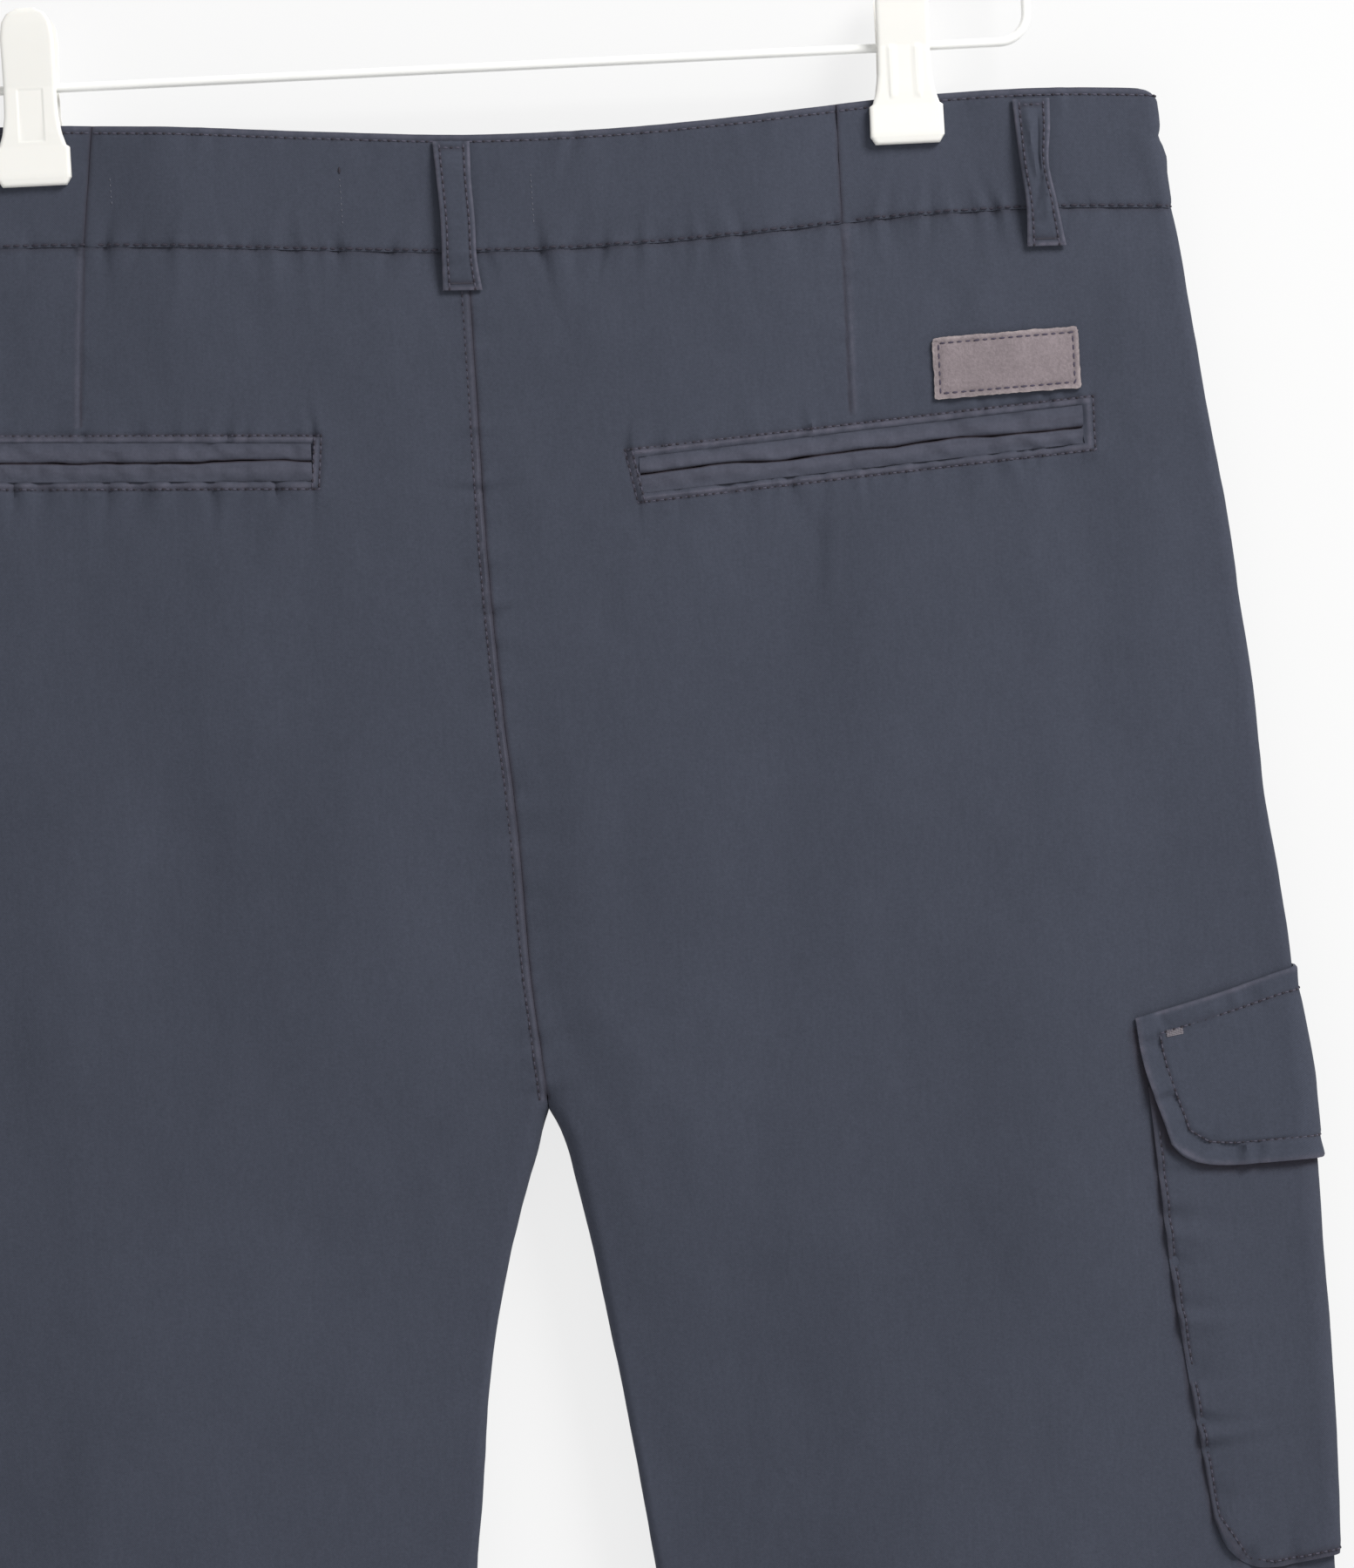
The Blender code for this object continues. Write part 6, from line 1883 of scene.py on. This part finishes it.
def texture(tree, vector, scale, detail=2.0, roughness=0.5):
    """A noise texture's value, from 0 to 1."""
    inputs = {"Vector": vector, "Scale": scale, "Detail": detail, "Roughness": roughness}
    return add(tree, "ShaderNodeTexNoise", inputs).outputs[0]


def centred(tree, value):
    """A value from 0 to 1, brought to -1 to 1."""
    return math_node(tree, "MULTIPLY_ADD", value, 2.0, -1.0)


def weave_group():
    """Twill's slanting ribs and its crossing yarns, from the cloth's own flat places."""
    inputs, outputs = (
        {"Pitch": "Float", "Unevenness": "Float"}, {"Height": "Float", "Heather": "Float"}
    )
    group, given, result = new_group("twill weave", "ShaderNodeTree", inputs, outputs)
    pitch, unevenness = given.outputs["Pitch"], given.outputs["Unevenness"]
    uv = add(group, "ShaderNodeUVMap", uv_map="cloth").outputs[0]
    u, v, _ = add(group, "ShaderNodeSeparateXYZ", {0: uv}).outputs
    slant = math_node(group, "ADD", u, math_node(group, "MULTIPLY", v, WEAVE_SLANT))
    drift = math_node(group, "MULTIPLY", texture(group, uv, WEAVE_WAVES), unevenness)
    turns = math_node(group, "DIVIDE", slant, pitch)
    rib = math_node(group, "SINE", math_node(group, "MULTIPLY_ADD", turns, 2 * math.pi, drift))
    yarn_turns = math_node(group, "DIVIDE", v, pitch)
    yarn = math_node(group, "SINE", math_node(group, "MULTIPLY", yarn_turns, YARN_TURNS * math.pi))
    both = math_node(group, "MULTIPLY_ADD", yarn, YARN_SHARE, rib)
    squeezed = {0: uv, 1: (1.0, STREAK_SQUEEZE, 1.0)}
    along = add(group, "ShaderNodeVectorMath", squeezed, operation="MULTIPLY").outputs[0]
    streaks = texture(group, along, STREAK_SCALE, 4.0, 0.65)
    height = math_node(group, "MULTIPLY_ADD", both, 0.38, 0.5)
    give(group, result, {"Height": height, "Heather": centred(group, streaks)})
    return group


def wash_group():
    """Soft clouds and fine lint left by washing, from -1 to 1."""
    outputs = {"Value": "Float", "Lint": "Float"}
    group, given, result = new_group("washed mottle", "ShaderNodeTree", {"Scale": "Float"}, outputs)
    place = add(group, "ShaderNodeTexCoord").outputs["Object"]
    clouds = texture(group, place, given.outputs["Scale"], 5.0, 0.72)
    lint = texture(group, place, LINT_SCALE, 3.0, 0.7)
    give(group, result, {"Value": centred(group, clouds), "Lint": centred(group, lint)})
    return group


def seam_group():
    """Colour painted dark as shade in seams and gaps, and pale where edges are rubbed."""
    inputs, output = {"Colour": "Color", "Dark": "Color", "Pale": "Color"}, {"Colour": "Color"}
    group, given, result = new_group("seam marks", "ShaderNodeTree", inputs, output)
    current = given.outputs["Colour"]
    for attribute, ink in (("seam_wear", "Pale"), ("seam_shade", "Dark")):
        amount = add(group, "ShaderNodeAttribute", attribute_name=attribute).outputs["Fac"]
        inks = {0: amount, 6: current, 7: given.outputs[ink]}
        current = add(group, "ShaderNodeMix", inks, data_type="RGBA").outputs[2]
    give(group, result, {"Colour": current})
    return group


def base_material(name, colour, roughness, specular=0.5):
    material = bpy.data.materials.new(name)
    material.use_nodes = True
    material.diffuse_color = (*colour, 1)
    tree = material.node_tree
    shader = tree.nodes["Principled BSDF"]
    looks = {"Base Color": (*colour, 1), "Roughness": roughness, "Specular IOR Level": specular}
    give(tree, shader, looks)
    return material, tree, shader


def use_group(tree, group, **values):
    return add(tree, "ShaderNodeGroup", values, node_tree=group).outputs


def brighten(tree, colour, *masks):
    """A colour made brighter and darker by masks from -1 to 1, each with its strength."""
    for amount, strength in masks:
        factor = math_node(tree, "MULTIPLY_ADD", amount, strength, 1.0)
        scaled = {0: colour, "Scale": factor}
        colour = add(tree, "ShaderNodeVectorMath", scaled, operation="SCALE").outputs[0]
    return colour


def bump(tree, height, distance, strength=0.8):
    inputs = {"Distance": distance, "Strength": strength, "Height": height}
    return add(tree, "ShaderNodeBump", inputs).outputs[0]


def cloth_material(name, ink, groups):
    """Washed cotton twill: matte, softly mottled, with painted shade in its seams, its edges
    rubbed.
    """
    material, tree, shader = base_material(name, ink, 0.95, 0.08)
    inks = {"Colour": (*ink, 1), "Dark": (*PAINTED_SEAM_SHADE, 1), "Pale": (*WEAR_INK, 1)}
    marks = use_group(tree, groups["seams"], **inks)
    wash = use_group(tree, groups["wash"], Scale=CLOTH_WASH)
    weave = use_group(tree, groups["weave"], Pitch=WEAVE_PITCH, Unevenness=WEAVE_WANDER)
    ribs = centred(tree, weave["Height"])
    masks = ((wash["Value"], 0.15), (wash["Lint"], 0.20), (weave["Heather"], 0.10), (ribs, 0.13))
    height = math_node(tree, "MULTIPLY_ADD", wash["Lint"], 0.8, weave["Height"])
    sheen = {"Sheen Weight": 0.015, "Sheen Roughness": 0.5}
    looks = {
        "Base Color": brighten(tree, marks["Colour"], *masks),
        "Normal": bump(tree, height, 0.00005),
    }
    give(tree, shader, looks | sheen)
    return material


def suede_material(ink, groups):
    """Napped suede: soft blotches, a fine nap and a paler worn edge."""
    material, tree, shader = base_material("napped suede", ink, 0.96, 0.15)
    # Its dark ink is painted shade in the channel of its stitching.
    dark = tuple(SUEDE_DARKENS * c for c in ink)
    inks = {"Colour": (*ink, 1), "Dark": (*dark, 1), "Pale": (*SUEDE_PALE, 1)}
    marks = use_group(tree, groups["seams"], **inks)
    wash = use_group(tree, groups["wash"], Scale=SUEDE_WASH)
    colour = brighten(tree, marks["Colour"], (wash["Value"], 0.34), (wash["Lint"], 0.34))
    sheen = {"Sheen Weight": 0.06, "Sheen Roughness": 0.5}
    give(tree, shader, {"Base Color": colour, "Normal": bump(tree, wash["Lint"], 0.0002)} | sheen)
    return material


def plastic_material(ink, groups):
    """Milky moulded plastic: a soft highlight and light passing a little way in."""
    material, tree, shader = base_material("moulded plastic", ink, 0.40)
    wash = use_group(tree, groups["wash"], Scale=PLASTIC_WASH)
    milk = {"Subsurface Weight": 0.15, "Subsurface Radius": (0.0022, 0.0020, 0.0018)}
    coat = {"Coat Weight": 0.15, "Coat Roughness": 0.25}
    give(tree, shader, {"Normal": bump(tree, wash["Value"], 0.00004, 0.5)} | milk | coat)
    return material


def glossy_material(ink, groups, name, roughness, scale, mottling, coat, coat_roughness):
    """A hard glossy material of slightly uneven colour."""
    material, tree, shader = base_material(name, ink, roughness)
    wash = use_group(tree, groups["wash"], Scale=scale)
    colour = add(tree, "ShaderNodeRGB").outputs[0]
    colour.default_value = (*ink, 1)
    mottled = brighten(tree, colour, (wash["Value"], mottling))
    looks = {"Base Color": mottled, "Coat Weight": coat, "Coat Roughness": coat_roughness}
    give(tree, shader, looks)
    return material


MATERIALS = {}


def make_materials():
    groups = {"weave": weave_group(), "wash": wash_group(), "seams": seam_group()}
    inks = settings()
    MATERIALS.update({
        "twill": cloth_material("washed twill", inks.twill, groups),
        "flap_twill": cloth_material("washed flap twill", inks.flap_twill, groups),
        "suede": suede_material(inks.suede, groups),
        "clip_plastic": plastic_material(inks.plastic, groups),
        "wire_coating": glossy_material(inks.wire, groups, *GLOSSY["wire_coating"]),
        "button": glossy_material(inks.button, groups, *GLOSSY["button"]),
    })
    for name, colour in THREADS.items():
        MATERIALS[name], tree, shader = base_material(name, colour, 0.75, 0.3)
        give(tree, shader, {"Sheen Weight": 0.02})


# ---- stage, light and camera

WALL_BEHIND, FLOOR_Z = 22.0, -950.0
WALL_HALF, WALL_HIGH, FLOOR_HALF = 3, 2, 4  # metres
VIEW_CENTRE = Vector((59.5, 0.0, WAIST_TOP_Z - 223.4)) * MM
VIEW_HEIGHT, VIEW_DISTANCE, VIEW_ROLL = 534.1 * MM, 2.0, 2.8
SENSOR = 36.0
LAMPS = table(
    "name place aim size power colour",
    ("key", (1.25, -1.32, 1.02), (0.03, 0.0, -0.36), 1.0, 52.0, (1.0, 0.995, 0.985)),
    ("rear", (0.6, 2.4, 0.9), (0.0, 0.0, -0.40), 1.6, 36.0, (1.0, 1.0, 1.0)),
)
# The room's light, and how bright it looks behind the floor's edge.
AMBIENT, SEEN_AROUND = 0.42, 0.93
WALL_DIFFUSE, WALL_GLOW = 0.16, 0.765


def plain_quad(name, corners, material):
    mesh = bpy.data.meshes.new(name)
    mesh.from_pydata(corners, [], [(0, 1, 2, 3)])
    mesh.materials.append(material)
    new_object(name, mesh)


def stage_material(name, see_through):
    """A pale surface that glows a little, so that shadows on it stay soft and light.

    A see-through one is there only from its front, and lamps shine through it."""
    material, tree, shader = base_material(name, (WALL_DIFFUSE,) * 3, 1.0, 0.0)
    give(tree, shader, {"Emission Color": (1.0, 1.0, 1.0, 1), "Emission Strength": WALL_GLOW})
    if see_through:
        clear = add(tree, "ShaderNodeBsdfTransparent").outputs[0]
        behind = add(tree, "ShaderNodeNewGeometry").outputs["Backfacing"]
        shadow = add(tree, "ShaderNodeLightPath").outputs["Is Shadow Ray"]
        either = math_node(tree, "MAXIMUM", behind, shadow)
        blend = add(tree, "ShaderNodeMixShader", {0: either, 1: shader.outputs[0], 2: clear})
        give(tree, tree.nodes["Material Output"], {0: blend.outputs[0]})
    return material


def make_stage():
    y, z, x, high, far = settings().wall_behind, FLOOR_Z * MM, WALL_HALF, WALL_HIGH, FLOOR_HALF
    wall_corners = [(-x, y, -high), (x, y, -high), (x, y, high), (-x, y, high)]
    plain_quad("backdrop", wall_corners, stage_material("backdrop", True))
    floor_corners = [(-far, -far, z), (far, -far, z), (far, far, z), (-far, far, z)]
    plain_quad("floor", floor_corners, stage_material("floor", False))


def make_world():
    """Even light from all round, which looks brighter to the camera than it shines."""
    world = bpy.data.worlds.new("soft room")
    world.use_nodes = True
    tree, room = world.node_tree, settings().ambient
    to_camera = add(tree, "ShaderNodeLightPath").outputs["Is Camera Ray"]
    seen = math_node(tree, "MULTIPLY_ADD", to_camera, SEEN_AROUND - room, room)
    give(tree, tree.nodes["Background"], {0: (1.0, 1.0, 1.0, 1), 1: seen})
    bpy.context.scene.world = world


def make_lamps():
    for lamp in LAMPS:
        light = bpy.data.lights.new(lamp.name, "AREA")
        light.shape = "DISK"
        light.size, light.energy, light.color = lamp.size, lamp.power, lamp.colour
        holder = new_object(lamp.name, light)
        holder.location = lamp.place
        beam = Vector(lamp.aim) - Vector(lamp.place)
        holder.rotation_euler = beam.to_track_quat("-Z", "Y").to_euler()


def make_camera():
    """Straight on to the garment's back, turned so that the bar rises to the right."""
    camera = bpy.data.cameras.new("camera")
    camera.sensor_width = SENSOR
    camera.lens = SENSOR * VIEW_DISTANCE / VIEW_HEIGHT
    camera.clip_start, camera.clip_end = 0.05, 50
    holder = new_object("camera", camera)
    roll = Matrix.Rotation(math.radians(VIEW_ROLL), 4, "Y")
    place = Matrix.Translation(VIEW_CENTRE + Vector((0, -VIEW_DISTANCE, 0)))
    holder.matrix_world = place @ roll @ Matrix.Rotation(math.radians(90), 4, "X")
    bpy.context.scene.camera = holder
    bpy.context.scene.view_settings.view_transform = "Standard"


# ---- settings, operators and panel


def ink_property(name, of_what, default):
    looks = {"name": name, "description": f"Colour of {of_what}", "default": default}
    return bpy.props.FloatVectorProperty(**looks, subtype="COLOR", min=0.0, max=1.0)


class ShortsSettings(bpy.types.PropertyGroup):
    """What can be changed before the garment is dressed again."""

    twill: ink_property("Twill", "the cloth", TWILL_INK)
    flap_twill: ink_property("Flap twill", "the cloth of the pocket flaps", FLAP_INK)
    suede: ink_property("Suede", "the patch", SUEDE_INK)
    plastic: ink_property("Clip plastic", "the hanger's clips and collar", PLASTIC_INK)
    wire: ink_property("Wire", "the coating on the hanger's wire", WIRE_INK)
    button: ink_property("Button", "the waist button", BUTTON_INK)
    rumple: bpy.props.FloatProperty(
        name="Rumpling",
        description="How strongly the cloth's small unevenness shows, against its usual amount",
        subtype="FACTOR",
        default=1.0,
        min=0.0,
        max=2.0,
    )
    ambient: bpy.props.FloatProperty(
        name="Room light",
        description="Strength of the even light from the room",
        default=AMBIENT,
        min=0.0,
        max=2.0,
    )
    wall_behind: bpy.props.FloatProperty(
        name="Wall distance",
        description="How far behind the hanger the backdrop stands",
        default=WALL_BEHIND * MM,
        min=0.02,
        unit="LENGTH",
    )


CLOTHS = {}


class SHORTS_OT_materials(bpy.types.Operator):
    """Make the materials of the cloth, thread, suede, plastic, wire and button"""

    bl_idname = "shorts.materials"
    bl_label = "Make materials"

    def execute(self, context):
        make_materials()
        return {"FINISHED"}


class SHORTS_OT_panels(bpy.types.Operator):
    """Cut the two back panels and the two front panels"""

    bl_idname = "shorts.panels"
    bl_label = "Cut panels"

    def execute(self, context):
        for side in (1, -1):
            CLOTHS["back", side] = back_panel(side)
            CLOTHS["front", side] = front_panel(side)
        return {"FINISHED"}


class SHORTS_OT_waistband(bpy.types.Operator):
    """Make the three pieces of the waistband and the five belt loops"""

    bl_idname = "shorts.waistband"
    bl_label = "Make waistband and loops"

    def execute(self, context):
        CLOTHS["band", 0] = band_centre()
        for side in (1, -1):
            CLOTHS["band", side] = band_side(side)
        for loop in BELT_LOOPS:
            CLOTHS[loop.name, 0] = belt_loop(loop)
        return {"FINISHED"}


class SHORTS_OT_pockets(bpy.types.Operator):
    """Make the welts, the patch and the cargo pockets with their flaps"""

    bl_idname = "shorts.pockets"
    bl_label = "Make pockets"

    def execute(self, context):
        for pocket in BACK_POCKETS:
            welts(pocket)
        CLOTHS["patch", 0] = patch()
        for side in (1, -1):
            CLOTHS["pouch", side] = cargo_piece(side, "pouch", "twill")
            CLOTHS["flap", side] = cargo_piece(side, "flap", "flap_twill")
        return {"FINISHED"}


class SHORTS_OT_stitching(bpy.types.Operator):
    """Stitch every row of the cloth pieces"""

    bl_idname = "shorts.stitching"
    bl_label = "Stitch the seams"

    def execute(self, context):
        if not CLOTHS:
            raise RuntimeError("cut the panels before they are stitched")
        sew_rows(CLOTHS.values(), hem_threads(CLOTHS))
        return {"FINISHED"}


class SHORTS_OT_hardware(bpy.types.Operator):
    """Make the hanger, its clips and the waist button"""

    bl_idname = "shorts.hardware"
    bl_label = "Make hanger, clips and button"

    def execute(self, context):
        hanger_wires()
        hanger_fittings()
        for side in (1, -1):
            for face in (-1, 1):
                lever(side, face)
        waist_button()
        return {"FINISHED"}


class SHORTS_OT_stage(bpy.types.Operator):
    """Put up the backdrop, floor, lamps and camera"""

    bl_idname = "shorts.stage"
    bl_label = "Set the stage"

    def execute(self, context):
        make_stage()
        make_world()
        make_lamps()
        make_camera()
        return {"FINISHED"}


OPERATORS = (
    SHORTS_OT_materials,
    SHORTS_OT_panels,
    SHORTS_OT_waistband,
    SHORTS_OT_pockets,
    SHORTS_OT_stitching,
    SHORTS_OT_hardware,
    SHORTS_OT_stage,
)


class SHORTS_PT_panel(bpy.types.Panel):
    """Buttons for each step, in their order"""

    bl_idname = "SHORTS_PT_panel"
    bl_label = "Cargo shorts"
    bl_space_type = "VIEW_3D"
    bl_region_type = "UI"
    bl_category = "Shorts"

    def draw(self, context):
        column = self.layout.column()
        settings = context.scene.shorts_settings
        for name in ShortsSettings.__annotations__:
            column.prop(settings, name)
        for operator in OPERATORS:
            column.operator(operator.bl_idname)


CLASSES = (ShortsSettings, *OPERATORS, SHORTS_PT_panel)


def register():
    for kind in CLASSES:
        bpy.utils.register_class(kind)
    bpy.types.Scene.shorts_settings = bpy.props.PointerProperty(type=ShortsSettings)


def unregister():
    del bpy.types.Scene.shorts_settings
    for kind in reversed(CLASSES):
        bpy.utils.unregister_class(kind)


def main():
    register()
    for operator in OPERATORS:
        group, name = operator.bl_idname.split(".")
        if getattr(getattr(bpy.ops, group), name)() != {"FINISHED"}:
            raise RuntimeError(f"{operator.bl_label} did not finish")


if __name__ == "__main__":
    main()
